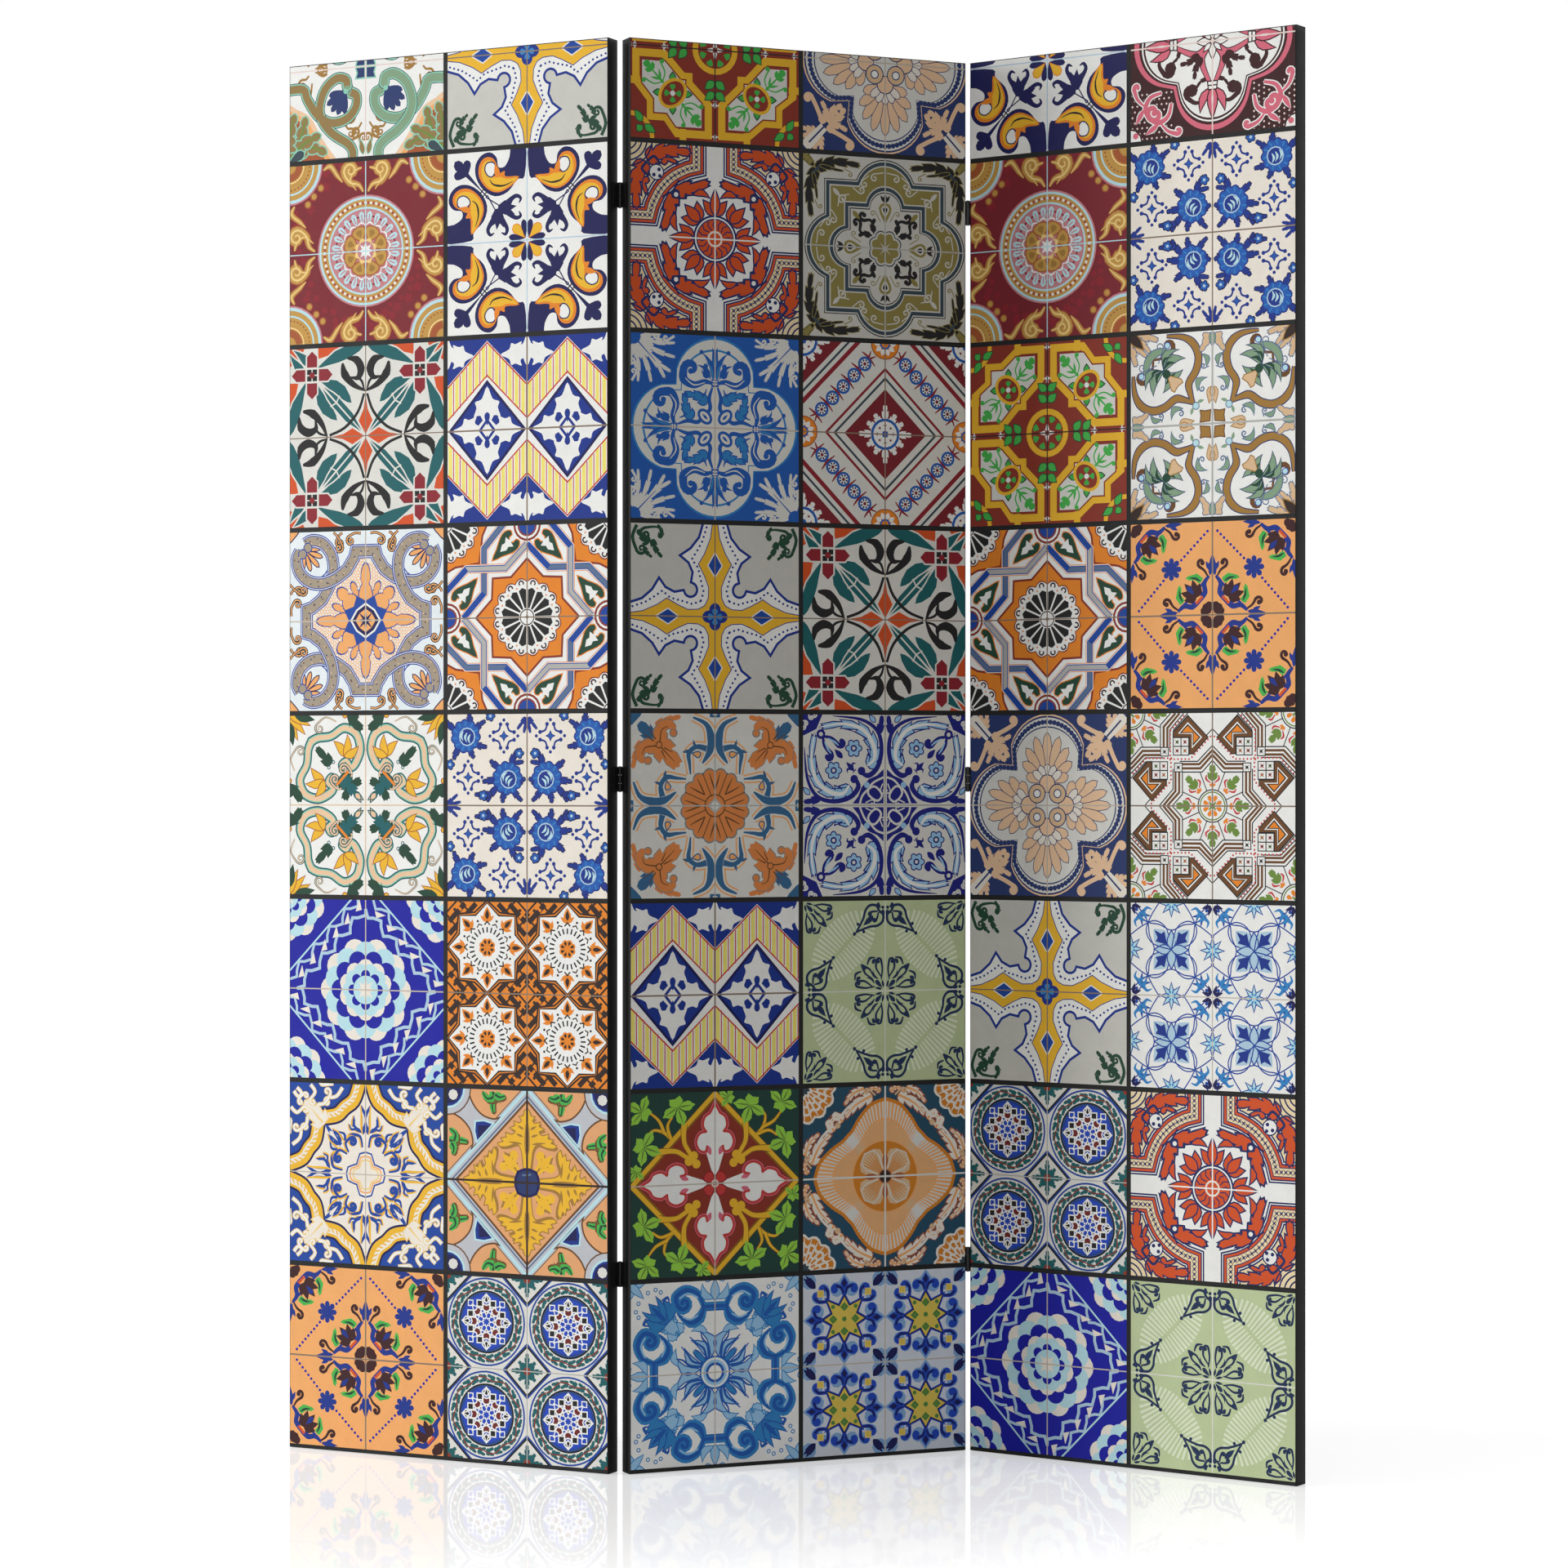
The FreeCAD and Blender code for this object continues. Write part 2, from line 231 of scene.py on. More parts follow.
# Canvases. Printed cotton drawn over each panel's front and sides and stapled behind, with black edges.
# The print is a patchwork of old glazed tiles in blocks of four, two blocks wide, with black lines between.
# Each block is drawn in its own square, from -100 to 100 each way, with points as complex numbers.
TURNS = (1, 1j, -1, -1j)
ONCE = ((1, False),)
QUARTERS = tuple((turn, False) for turn in TURNS)
EIGHTHS = QUARTERS + tuple((turn, True) for turn in TURNS)
FLIPS = ((1, False), (-1, True), (-1, False), (1, True))


def polar(radius, degrees):
    return cmath.rect(radius, math.radians(degrees))


def smooth(points, closed=False, steps=4):
    """A smooth line through the points."""
    count = len(points)
    line = []
    for i in range(count if closed else count - 1):
        near = [i - 1, i, i + 1, i + 2]
        if closed:
            a, b, c, d = (points[k % count] for k in near)
        else:
            a, b, c, d = (points[min(max(k, 0), count - 1)] for k in near)
        for j in range(steps):
            t = j / steps
            bend = (2 * a - 5 * b + 4 * c - d) + t * (3 * b - a - 3 * c + d)
            line.append(b + t * ((c - a) + t * bend) / 2)
    return line if closed else line + [points[-1]]


def tidy(corners):
    """Corners in order round their middle."""
    middle = sum(corners) / len(corners)
    return sorted(corners, key=lambda p: cmath.phase(p - middle))


def stroke(points, width, closed=False):
    """A brush line as four-sided pieces. Several widths are spread evenly along it."""
    widths = width if isinstance(width, tuple) else (width, width)
    count = len(points)
    edges = []
    for i, point in enumerate(points):
        before = points[i - 1] if closed or i else point
        after = points[(i + 1) % count] if closed or i < count - 1 else point
        come = (point - before) or (after - point)
        go = (after - point) or (point - before)
        come /= abs(come) or 1
        go /= abs(go) or 1
        lean = come + go
        lean = lean / abs(lean) if abs(lean) > 0.2 else go
        reach = 1 / max(0.5, (lean * go.conjugate()).real)
        place = i / max(count - 1, 1) * (len(widths) - 1)
        k = min(int(place), len(widths) - 2)
        half = max(0.3, widths[k] + (widths[k + 1] - widths[k]) * (place - k)) / 2
        edges.append((point + 1j * lean * half * reach, point - 1j * lean * half * reach))
    pieces = [a + b for a, b in zip(edges, edges[1:] + edges[:1])]
    return [tidy(piece) for piece in (pieces if closed else pieces[:-1])]


def curve(points, width, steps=4):
    return stroke(smooth(points, False, steps), width)


def blob(*points, steps=3):
    return [smooth(points, True, steps)]


def disc(centre, radius, sides=12):
    return [[centre + polar(radius, 360 * i / sides) for i in range(sides)]]


def ring(centre, radius, width, sides=24):
    return stroke(disc(centre, radius, sides)[0], width, True)


def arc(centre, radius, start, end, sides=10):
    return [centre + polar(radius, start + (end - start) * i / sides) for i in range(sides + 1)]


def leaf(base, tip, width, bow=0.0):
    """A leaf pointed at both ends, bowed to its left."""
    run = tip - base
    swell = ((0.12, 0.55), (0.32, 0.95), (0.55, 0.9), (0.8, 0.45))
    mid = [base + run * (t + 1j * bow * math.sin(math.pi * t)) for t, _ in swell]
    side = 1j * run / abs(run) * width / 2
    left = [m + side * w for m, (_, w) in zip(mid, swell)]
    right = [m - side * w for m, (_, w) in zip(mid, swell)]
    return [[base] + right + [tip] + left[::-1]]


def drop(base, tip, width):
    """A petal, pointed at its base and round at its tip."""
    run = tip - base
    side = 1j * run / abs(run) * width / 2
    swell = ((0.25, 0.45), (0.5, 0.85), (0.72, 1.0), (0.9, 0.72))
    right = [base + run * t - side * w for t, w in swell]
    left = [base + run * t + side * w for t, w in swell]
    return [[base] + right + [tip] + left[::-1]]


def star(centre, points, outer, inner, lean=90):
    return [[centre + polar(inner if i % 2 else outer, lean + 180 * i / points) for i in range(2 * points)]]


def lobed(centre, lobes, radius, dip, lean=0, sides=5):
    """A round flower outline."""
    count = lobes * sides
    out = []
    for i in range(count):
        wave = abs(math.sin(math.pi * i / sides))
        out.append(centre + polar(radius * (1 - dip + dip * wave), lean + 360 * i / count))
    return [out]


def volute(points, radius, side, width, turns=1.1, ball=1.6):
    """A brush line that ends in a curl, to its left where side is 1 and to its right where it is -1."""
    line = smooth(points, False, 4)
    way = (line[-1] - line[-2]) / abs(line[-1] - line[-2])
    centre = line[-1] + 1j * side * way * radius
    start = math.degrees(cmath.phase(line[-1] - centre))
    sweep = 360 * turns
    count = int(12 * turns)
    steps = [i / count for i in range(1, count + 1)]
    curl = [centre + polar(radius * (1 - 0.75 * t), start + side * sweep * t) for t in steps]
    last = width[-1] if isinstance(width, tuple) else width
    return stroke(line + curl, width) + disc(curl[-1], last * ball / 2, 8)


def moved(shape, by=0, turn=0, size=1, flip=False):
    spin = size * polar(1, turn)
    return [[(p.conjugate() if flip else p) * spin + by for p in piece] for piece in shape]


def around(points):
    """One outline from its quarter, turned about the block's centre."""
    return [[p * turn for turn in TURNS for p in points]]


def along(points, pitch):
    """Places at an even pitch along a line."""
    spots = [points[0]]
    left = pitch
    for a, b in zip(points, points[1:]):
        length = abs(b - a)
        done = 0.0
        while length - done >= left:
            done += left
            spots.append(a + (b - a) * done / length)
            left = pitch
        left -= length - done
    return spots


def beads(points, pitch, radius, sides=7):
    return [piece for spot in along(points, pitch) for piece in disc(spot, radius, sides)]


class Block:
    """One printed block of four tiles: coloured outlines, later ones over earlier ones."""

    def __init__(self, glaze):
        self.marks = [(glaze, [-120-120j, 120-120j, 120+120j, -120+120j])]

    def mark(self, copies, glaze, shape, line=None, width=1.2):
        """Add a shape and, where it has one, the line round its edge."""
        for turn, flip in copies:
            for piece in shape:
                self.marks.append((glaze, [(p.conjugate() if flip else p) * turn for p in piece]))
        for piece in shape if line else ():
            self.mark(copies, line, stroke(piece, width, True))

    def once(self, *mark):
        self.mark(ONCE, *mark)

    def turn(self, *mark):
        self.mark(QUARTERS, *mark)

    def fold(self, *mark):
        self.mark(EIGHTHS, *mark)

    def flip(self, *mark):
        self.mark(FLIPS, *mark)


def swapped(points):
    """Points across the diagonal."""
    return [p.imag + 1j * p.real for p in points]


GLAZES = {
    "ground": "#0a0a0b", "white": "#f6f6f2", "bone": "#e4e3dc", "stone": "#d0cfc7", "midnight": "#14225c",
    "cream": "#f4ecdf", "black": "#0b090b", "navy": "#05064e", "deep blue": "#0a2f8c", "azure": "#1a5cb4",
    "cobalt": "#0309a0", "blue": "#0d44a0", "sky": "#2f86c8", "pale blue": "#b5d3e6", "ice": "#bfe6ee",
    "ink": "#21346a", "steel": "#5c7396", "slate": "#33454f", "teal": "#0c5e62", "mint": "#8fd0b8",
    "sage": "#86a585", "grass": "#45b64c", "dark green": "#12402c", "moss": "#6f8f3a", "yellow": "#f4bd2c",
    "lemon": "#f9ea77", "straw": "#f5d488", "gold": "#c89a4a", "ochre": "#a57a34", "olive": "#957a48",
    "brown": "#6b4420", "dark brown": "#2a1710", "orange": "#ee8a22", "burnt orange": "#d8521c",
    "rust": "#a8562a", "apricot": "#f7b06a", "peach": "#f2cba4", "sand": "#e2bf95", "red": "#c93a36",
    "brick": "#8c301f", "crimson": "#8c1a28", "burgundy": "#7a1a26", "wine": "#34070d", "rose": "#dc6c80",
    "pink": "#c9848a", "blush": "#ecd7cf", "grey": "#b9b8b3", "mid grey": "#8b8984", "joint": "#c9bdae",
    "dark joint": "#8c7a68", "celadon": "#c3d1a2", "pistachio": "#e3ecd0", "deep slate": "#0f2850",
    "terracotta": "#e9a973", "pewter": "#c3c6cc", "bottle green": "#123a31", "bronze": "#8f6410",
    "leaf green": "#9bd748", "petrol": "#1d4a62", "ochre orange": "#d98420", "wheat": "#f3dfb4",
    "ice white": "#edf5f8", "taupe": "#a89a86", "denim": "#346791", "tangerine": "#e58a48",
    "indigo": "#10187e", "antique gold": "#8f8446", "royal": "#1846bc", "oxblood": "#6e1c1c",
    "powder": "#9fcdee", "mist": "#dbe0e8", "halo": "#85add8", "maize": "#e7cb57", "fern": "#4c883e",
}

DESIGNS = {}


def design(ground, joint="joint", width=1.4):
    """Keep a drawing under its name, on its ground and with the joint between its four tiles."""
    def keep(draw):
        def block():
            drawn = Block(ground)
            draw(drawn)
            drawn.turn(joint, stroke([0, 120], width))
            return drawn
        DESIGNS[draw.__name__] = block
        return draw
    return keep


def cut_leaf(points, width, outline):
    """A leaf on a bent spine. The outline lists how far along and how far out its edge goes."""
    spine = smooth(points, False, 4)
    last = len(spine) - 1
    sides = ([], [])
    for t, reach in outline:
        k = min(int(t * last), last - 1)
        way = spine[k + 1] - spine[k]
        at = spine[k] + way * (t * last - k)
        out = 1j * way / abs(way) * width / 2 * reach * (1 - 0.7 * t ** 1.6)
        sides[0].append(at + out)
        sides[1].append(at - out)
    return [[spine[0]] + sides[1] + [spine[-1]] + sides[0][::-1]]


def acanthus(points, width, lobes=4, notch=0.45):
    """A leaf with pointed lobes that lean forwards."""
    step = 1 / (lobes + 0.35)
    outline = []
    for i in range(lobes):
        outline += [((i + 0.1) * step, notch), ((i + 0.55) * step, 0.8), ((i + 1.22) * step, 1)]
    return cut_leaf(points, width, outline + [((lobes + 0.1) * step, notch)])


def oak(points, width, lobes=4, notch=0.45):
    """A leaf with round lobes."""
    step = 1 / (lobes + 0.15)
    outline = []
    for i in range(lobes):
        outline += [((i + 0.08) * step, notch), ((i + 0.25) * step, 0.9), ((i + 0.58) * step, 1),
            ((i + 0.92) * step, 0.85)]
    return cut_leaf(points, width, outline)


def petals(count, inner, outer, width, lean=0, centre=0):
    """A ring of round petals."""
    spots = [lean + 360 * i / count for i in range(count)]
    return [p for a in spots for p in drop(centre + polar(inner, a), centre + polar(outer, a), width)]


def leaves(count, inner, outer, width, lean=0, centre=0):
    """A ring of pointed petals."""
    spots = [lean + 360 * i / count for i in range(count)]
    return [p for a in spots for p in leaf(centre + polar(inner, a), centre + polar(outer, a), width)]


def fan(count, spread, inner, outer, width, base=0, aim=90):
    """Petals spread from one place."""
    spots = [aim + spread * (i / (count - 1) - 0.5) for i in range(count)]
    return [p for a in spots for p in drop(base + polar(inner, a), base + polar(outer, a), width)]


def fleur(base, aim, size):
    """A lily: a middle petal, two turned back and a band."""
    parts = leaf(0, 100, 42) + stroke([-2-20j, -2+20j], 9)
    for side in (1, -1):
        parts += curve([5, 32 + 10j * side, 50 + 34j * side, 30 + 52j * side], (10, 20, 16, 5))
    return moved(parts, base, aim, size / 100)


def square(centre, half):
    return [[centre + half * (1+1j) * turn for turn in TURNS]]


def oval(centre, long, short, sides=16):
    """An oval that leans along the diagonal."""
    return [[centre + polar(1, 45) * complex(long * p.real, short * p.imag) for p in disc(0, 1, sides)[0]]]


@design("white", "blush")
def palmettes(b):
    b.flip("ochre", volute([66+2j, 55+5j], 4.5, 1, 1.6))
    for foot, way, side in ((50+5j, 60+5j, -1), (74+5j, 82+9j, 1), (70+14j, 72+27j, -1), (5+62j, 14+70j, 1),
            (12+50j, 16+60j, -1), (20+80j, 10+76j, 1), (26+64j, 20+68j, -1), (4+96j, 8+80j, -1)):
        b.flip("ochre", volute([foot, (foot + way) / 2+2j, way], 5.5, side, (2.2, 3, 1.2)))
    halo = blob(42+105j, 50+86j, 60+72j, 72+52j, 90+42j, 105+40j, 110+110j)
    b.flip("peach", halo)
    b.flip("apricot", moved(halo, 6+6j, 0, 0.97))
    b.flip("rust", moved(halo, 13+11j, 0, 0.94))
    for spine in ([98+100j, 85+75j, 78+50j], [100+98j, 75+85j, 50+94j], [102+100j, 82+82j, 58+72j],
            [102+90j, 100+70j, 92+46j]):
        b.flip("olive", oak(spine, 24, 4, 0.6), "mint", 1.6)
        b.flip("moss", stroke(smooth(spine), (5, 3, 0.6)))
    b.flip("slate", drop(102+102j, 80+90j, 12), "mint", 1.4)
    low = smooth([17+105j, 17+93j, 24+84j, 42+73j, 56+58j, 60+42j, 53+22j, 38+11j, 26+13j, 24+20j])
    high = smooth([105+20j, 82+20j, 76+32j, 63+50j, 45+60j, 25+57j, 13+45j, 12+32j, 19+28j])
    for line, ends in ((high, 19+28j), (low, 24+20j)):
        for glaze, width in (("slate", 13.5), ("mint", 11.8), ("sage", 9)):
            b.flip(glaze, stroke(line, width) + disc(ends, width * 0.55, 10))
    for line in (high, low):
        b.mark(((-1, False), (-1, True)), "olive", stroke(line, 9))
    for tip in (28+51j, 37+52j, 45+48j, 51+40j, 48+30j):
        b.flip("ink", drop(25+25j, tip, 8.5))
    b.flip("mint", disc(26+26j, 3))
    b.flip("olive", leaf(3+98j, 7+80j, 7), "mint", 1)
    b.flip("mint", [[1, 14, 12+7j, 14+14j, 1+14j]])
    b.flip("ink", [[1.5+1.5j, 12+1.5j, 10+7j, 12+12.5j, 1.5+12j]])


@design("stone", "dark joint")
def yellow_cross(b):
    half = [105+13j, 86+19j, 74+29j, 66+41.5j, 58.5+31.5j, 48+26.5j, 37+28.5j]
    knob = arc(29+29j, 7.8, -10, -125, 5)
    edge = half + knob + swapped((half + knob)[::-1])
    b.turn("white", around(edge), "deep blue", 2.8)
    inner = [105+2j, 85+5j, 68+12j, 57+19j, 44+12j, 32+7j, 20+7.5j, 13+11j]
    yellow = around(inner + swapped(inner[::-1]))
    b.turn("yellow", yellow, "deep blue", 2)
    b.once("yellow", yellow)
    mids = [97+10j, 82+15j, 70+22j, 62+27.5j, 53+20j, 40+17j, 27+13.5j, 16.5+17j]
    b.fold("deep blue", beads(mids, 5.5, 1.35))
    b.turn("blue", [[43, 55.5+8.5j, 70, 55.5-8.5j]], "white")
    b.once("deep blue", lobed(0, 4, 15, 0.35, 45, 7))
    b.once("sky", petals(4, 0, 9, 7))
    b.flip("dark green", volute([60+88j, 68+96j, 83+95j], 7, -1, (1.2, 4, 2.5))
        + volute([92+98j, 97+85j, 92+70j], 6, -1, (4, 3.5, 2)) + acanthus([78+78j, 84+84j, 92+93j], 14, 3)
        + acanthus([74+83j, 70+72j, 62+63j], 10, 3) + acanthus([84+74j, 80+68j, 74+63j], 8, 3)
        + acanthus([66+84j, 63+92j, 68+99j], 8, 3))


@design("brick", "dark brown")
def gold_straps(b):
    strap = [8+93j, 8+60j, 31+38j, 31+31j, 38+31j, 60+8j, 93+8j, 93+38j, 76+58j, 76+76j, 58+76j, 45+93j]
    b.turn("yellow", stroke(strap, 8.5, True))
    b.turn("bone", [[p * 0.84 + 8.5+8.5j for p in strap]], "brick", 1.6)
    b.fold("yellow", stroke([38+88j, 38+105j], 8))
    for way in (1, -1):
        spot = 50+50j
        aim = polar(way, 135)
        b.turn("grass", stroke([spot + aim * 15, spot + aim * 36], (3, 1.5))
            + acanthus([spot + aim * 33, spot + aim * 40, spot + aim * 47], 17, 2, 0.4))
        for side in (1, -1):
            b.turn("grass", volute([spot + aim * 17, spot + aim * (22+9j * side),
                spot + aim * (33+13j * side)], 2.5, side, (1.2, 2, 1.6), 0.8, 2)
                + leaf(spot + aim * 20, spot + aim * (30+7j * side), 3))
    b.turn("dark green", leaves(4, 12, 24, 9, 0, 50+50j))
    b.turn("grass", leaves(4, 12, 22, 7, 0, 50+50j))
    b.turn("brick", oval(50+50j, 17, 13, 18), "yellow", 3.5)
    b.turn("grass", petals(4, 3, 10, 7, 0, 50+50j))
    b.turn("white", disc(50+50j, 3))
    b.once("brick", disc(0, 23.5, 24), "yellow", 6.5)
    b.once("grass", petals(8, 11, 19, 8, 22.5))
    b.once("white", star(0, 4, 12, 4))
    b.once("brick", star(0, 4, 5, 2, 45))
    for foot in (34, 46):
        b.fold("grass", leaf(foot + 1j, foot + 9+12j, 10), "dark green", 1)
    b.turn("dark green", stroke([27, 62], 1.2))
    b.turn("white", fleur(56, 0, 9) + fleur(98, 180, 8))
    b.turn("yellow", stroke(arc(100+100j, 26, 180, 270), 5))
    b.fold("grass", leaf(83+86j, 70+94j, 9), "dark green", 1)
    b.turn("grass", leaf(86+93j, 92+86j, 9), "dark green", 1)


@design("ink")
def peach_flower(b):
    for aim in (78, 50, 20, -8):
        spot = 83+80j
        b.fold("peach", acanthus([spot + polar(2, aim), spot + polar(10, aim), spot + polar(20, aim)], 12,
            3))
    b.fold("peach", acanthus([70+70j, 63+56j, 52+50j], 16, 3)
        + volute([72+76j, 55+83j, 42+90j], 4.5, -1, (5, 5, 3)) + acanthus([70+80j, 60+72j, 46+78j], 13, 3))
    b.turn("cream", stroke([98+98j, 75+75j], (14, 10)))
    b.turn("ink", stroke([93+93j, 74+74j], 2))
    rim = around(arc(50, 47, -72, 72, 14) + [43+43j])[0]
    for share, glaze in ((1.04, "peach"), (1.02, "ink"), (1, "bone"), (0.9, "ink"), (0.885, "bone")):
        b.once(glaze, [[p * share for p in rim]])
    b.once("ink", beads([p * 0.95 for p in rim + rim[:1]], 5, 3, 7))
    for i, aim in enumerate((0, 17, 35, 54, 74)):
        long = (56, 53, 47, 39, 28)[i]
        b.fold("peach", drop(25 + polar(2, aim), 25 + polar(long, aim), 11.5), "ink", 0.8)
    for aim in (0, 24, 48):
        b.fold("cream", drop(22+0j, 22 + polar(24, aim), 9), "ink", 0.8)
    b.turn("peach", disc(24, 10), "ink")
    b.turn("sand", disc(13+13j, 10.5, 18), "ink")
    b.turn("white", disc(13+13j, 4.5), "ink")


@design("white", "pale blue", 1.2)
def navy_scrolls(b):
    b.fold("navy", [smooth([2+106j, 19+106j, 22+92j, 28+82j, 36+82j, 38+92j, 46+98.5j, 57+96j, 64.5+86j,
        64+72j, 55+58j, 40+50j, 24+54j, 12+67j, 3+70j], True, 3)])
    b.fold("orange", blob(10+70j, 20+60j, 36+54j, 50+59j, 60+72j, 60+85j, 53+93j, 43+92j, 38+83j, 44+78j,
        46+72j, 36+74j, 28+77j, 27+71j))
    b.fold("yellow", blob(12+69j, 22+61j, 37+56j, 50+62j, 57+73j, 56+85j, 50+90j, 44+88j, 46+78j, 45+71j,
        34+71j, 24+68j))
    b.fold("white", blob(39+80j, 42+87j, 50+87j, 53+80j, 49+73j, 43+72j), "navy", 1.4)
    b.fold("orange", leaf(36+70j, 40+86j, 7))
    b.fold("black", curve([18+65j, 30+61j, 42+63j, 47+69j], (0.6, 2.4, 0.6)))
    b.turn("navy", stroke([50+50j, 60+60j], 1.4))
    b.turn("black", stroke([50+56j, 56+50j], 1.4) + stroke([53+60j, 60+53j], 1.4))
    b.fold("navy", curve([52+50j, 42+44j, 32+38j], 1.4))
    tulip = [37+33j, 36+40j, 28+45j, 17+45j, 20+40j, 13+38j, 20+34j, 15+29j, 27+29j]
    b.fold("navy", [tulip])
    for bend in ([24+43j, 14+49j, 8+46j, 10+41j], [24+31j, 14+25j, 8+27j, 10+32j]):
        b.fold("navy", curve(bend, (6, 4.5, 3.5, 1)))
    b.turn("navy", stroke([60+60j, 76+76j], (1.4, 5)) + drop(73+73j, 91+91j, 12))
    b.fold("navy", drop(74+76j, 76+92j, 10))
    b.turn("yellow", drop(3+3j, 17+17j, 11), "orange", 1)
    b.fold("navy", drop(2+2j, 4.5+23j, 7.5))


@design("wine", "blush", 1.6)
def wine_flower(b):
    for i in range(9):
        for j in range(9):
            spot = complex(50 + 6 * i + 3 * (j % 2), 50 + 6 * j)
            b.turn("blush", disc(spot, 1.4, 4))
    for grow, glaze in ((4.5, "wine"), (2.5, "white"), (0, "rose")):
        b.fold(glaze, volute([50+62j, 54+76j, 66+82j, 77+76j], 7.5, -1,
            (3 + grow, 5.5 + grow, 6 + grow, 4.5 + grow), 0.75, 1.5)
            + volute([62+84j, 54+92j, 43+96j], 4, 1, (2 + grow, 5 + grow, 3 + grow), 0.6, 1.4)
            + leaf(66+84j, 82+94j, 6 + grow))
    b.turn("white", [[110+110j, 84+110j, 88+94j, 94+88j, 110+84j]], "wine", 2)
    b.turn("rose", disc(94+94j, 3.5, 8))
    rim = around(arc(49, 44, -78, 78, 18) + [46+46j])[0]
    for share, glaze in ((1.05, "wine"), (1.03, "rose"), (0.965, "wine"), (0.93, "white"), (0.91, "wine"),
            (0.885, "white")):
        b.once(glaze, [[p * share for p in rim]])
    b.fold("wine", volute([3+47j, 8+60j, 20+65j, 31+58j], 7.5, -1, (2, 3.5, 6, 6), 0.55, 2.4)
        + acanthus([5+40j, 14+42j, 20+50j], 7, 2, 0.5))
    for foot, tip, wide, bend in ((2+50j, 15+76j, 10, -0.12), (48j, 84j, 13, 0)):
        b.fold("rose", leaf(foot, tip, wide, bend), "wine", 1.4)
    b.turn("white", leaf(54j, 74j, 2.5))
    for glaze, width in (("wine", 8.5), ("rose", 6)):
        b.fold(glaze, curve([6+6j, 13+17j, 11+28j, 3+45j], (width, width, width * 0.6)))
    b.fold("wine", acanthus([13+16j, 20+27j, 22+40j], 12, 3, 0.4))
    b.turn("white", [[-6+43j, 6+43j, 5+52j, -5+52j]], "wine", 1.4)
    b.turn("wine", stroke([-5+47.5j, 5+47.5j], 1.4))
    b.turn("white", leaf(2, 20, 9), "wine")
    b.turn("white", leaf(2+2j, 11+11j, 6), "wine")


@design("burgundy", "ice", 1.2)
def roundel(b):
    for i in range(70):
        spot = polar(62 + 38 * ((i * 0.618) % 1), i * 137.5) * (1 + 0.25 * ((i * 0.37) % 1))
        b.once("crimson", lobed(spot, 5, 3.5 + 3 * ((i * 0.77) % 1), 0.4, i * 40, 3))
    corner = 100+100j
    for radius, glaze in ((44, "pink"), (42, "ice"), (38.5, "gold"), (33, "ice"), (31, "gold")):
        b.turn(glaze, disc(corner, radius, 32))
    for i in range(9):
        b.turn("rust", disc(corner + polar(27, 186 + i * 10), 1.2, 6)
            + leaf(corner + polar(8, 186 + i * 10), corner + polar(22, 190 + i * 10), 3))
    b.turn("straw", stroke(arc(corner, 19, 180, 270, 8), 2))
    for spot in (56+75.5j, 64.5+67.5j, 73.5+58.5j):
        b.turn("gold", disc(spot, 4, 9), "rust", 1.4)
    for glaze, wide in (("rust", 1.35), ("gold", 1), ("straw", 0.3)):
        b.fold(glaze, volute([3+66j, 9+74j, 20+77j, 27+85j], 9, 1, tuple(wide * w for w in (2, 7, 8, 7, 4)),
            1.2) + curve([5+93j, 14+90j, 20+80j, 12+68j], tuple(wide * w for w in (2, 5, 4, 1)))
            + curve([55+93j, 46+97j, 37+86j, 30+78j], tuple(wide * w for w in (2, 6, 5, 1))))
    for radius, glaze in ((62.5, "pink"), (60.5, "ice"), (57.8, "gold"), (49, "ice"), (46.8, "pink")):
        b.once(glaze, disc(0, radius, 48))
    b.once("rust", ring(0, 53.5, 3.5, 48))
    for i in range(48):
        b.once("cream", stroke([polar(52, i * 7.5), polar(55, i * 7.5)], 3.5))
    b.once("crimson", ring(0, 39, 2, 40))
    for i in range(24):
        aim = i * 15 + 7.5
        b.once("ice", drop(polar(29, aim), polar(44.5, aim), 7))
        b.once("pink", stroke([polar(33, aim), polar(41, aim)], 1.4))
    b.once("white", lobed(0, 16, 33, 0.12, 0, 4))
    b.once("pink", lobed(0, 16, 31, 0.1, 0, 4))
    b.once("gold", petals(8, 10, 29, 19, 22.5), "rust", 1.4)
    b.once("ochre", petals(8, 16, 25, 8, 22.5))
    b.once("straw", lobed(0, 8, 15, 0.25, 0, 4))
    b.once("pink", disc(0, 11))
    b.once("white", star(0, 8, 10, 5))


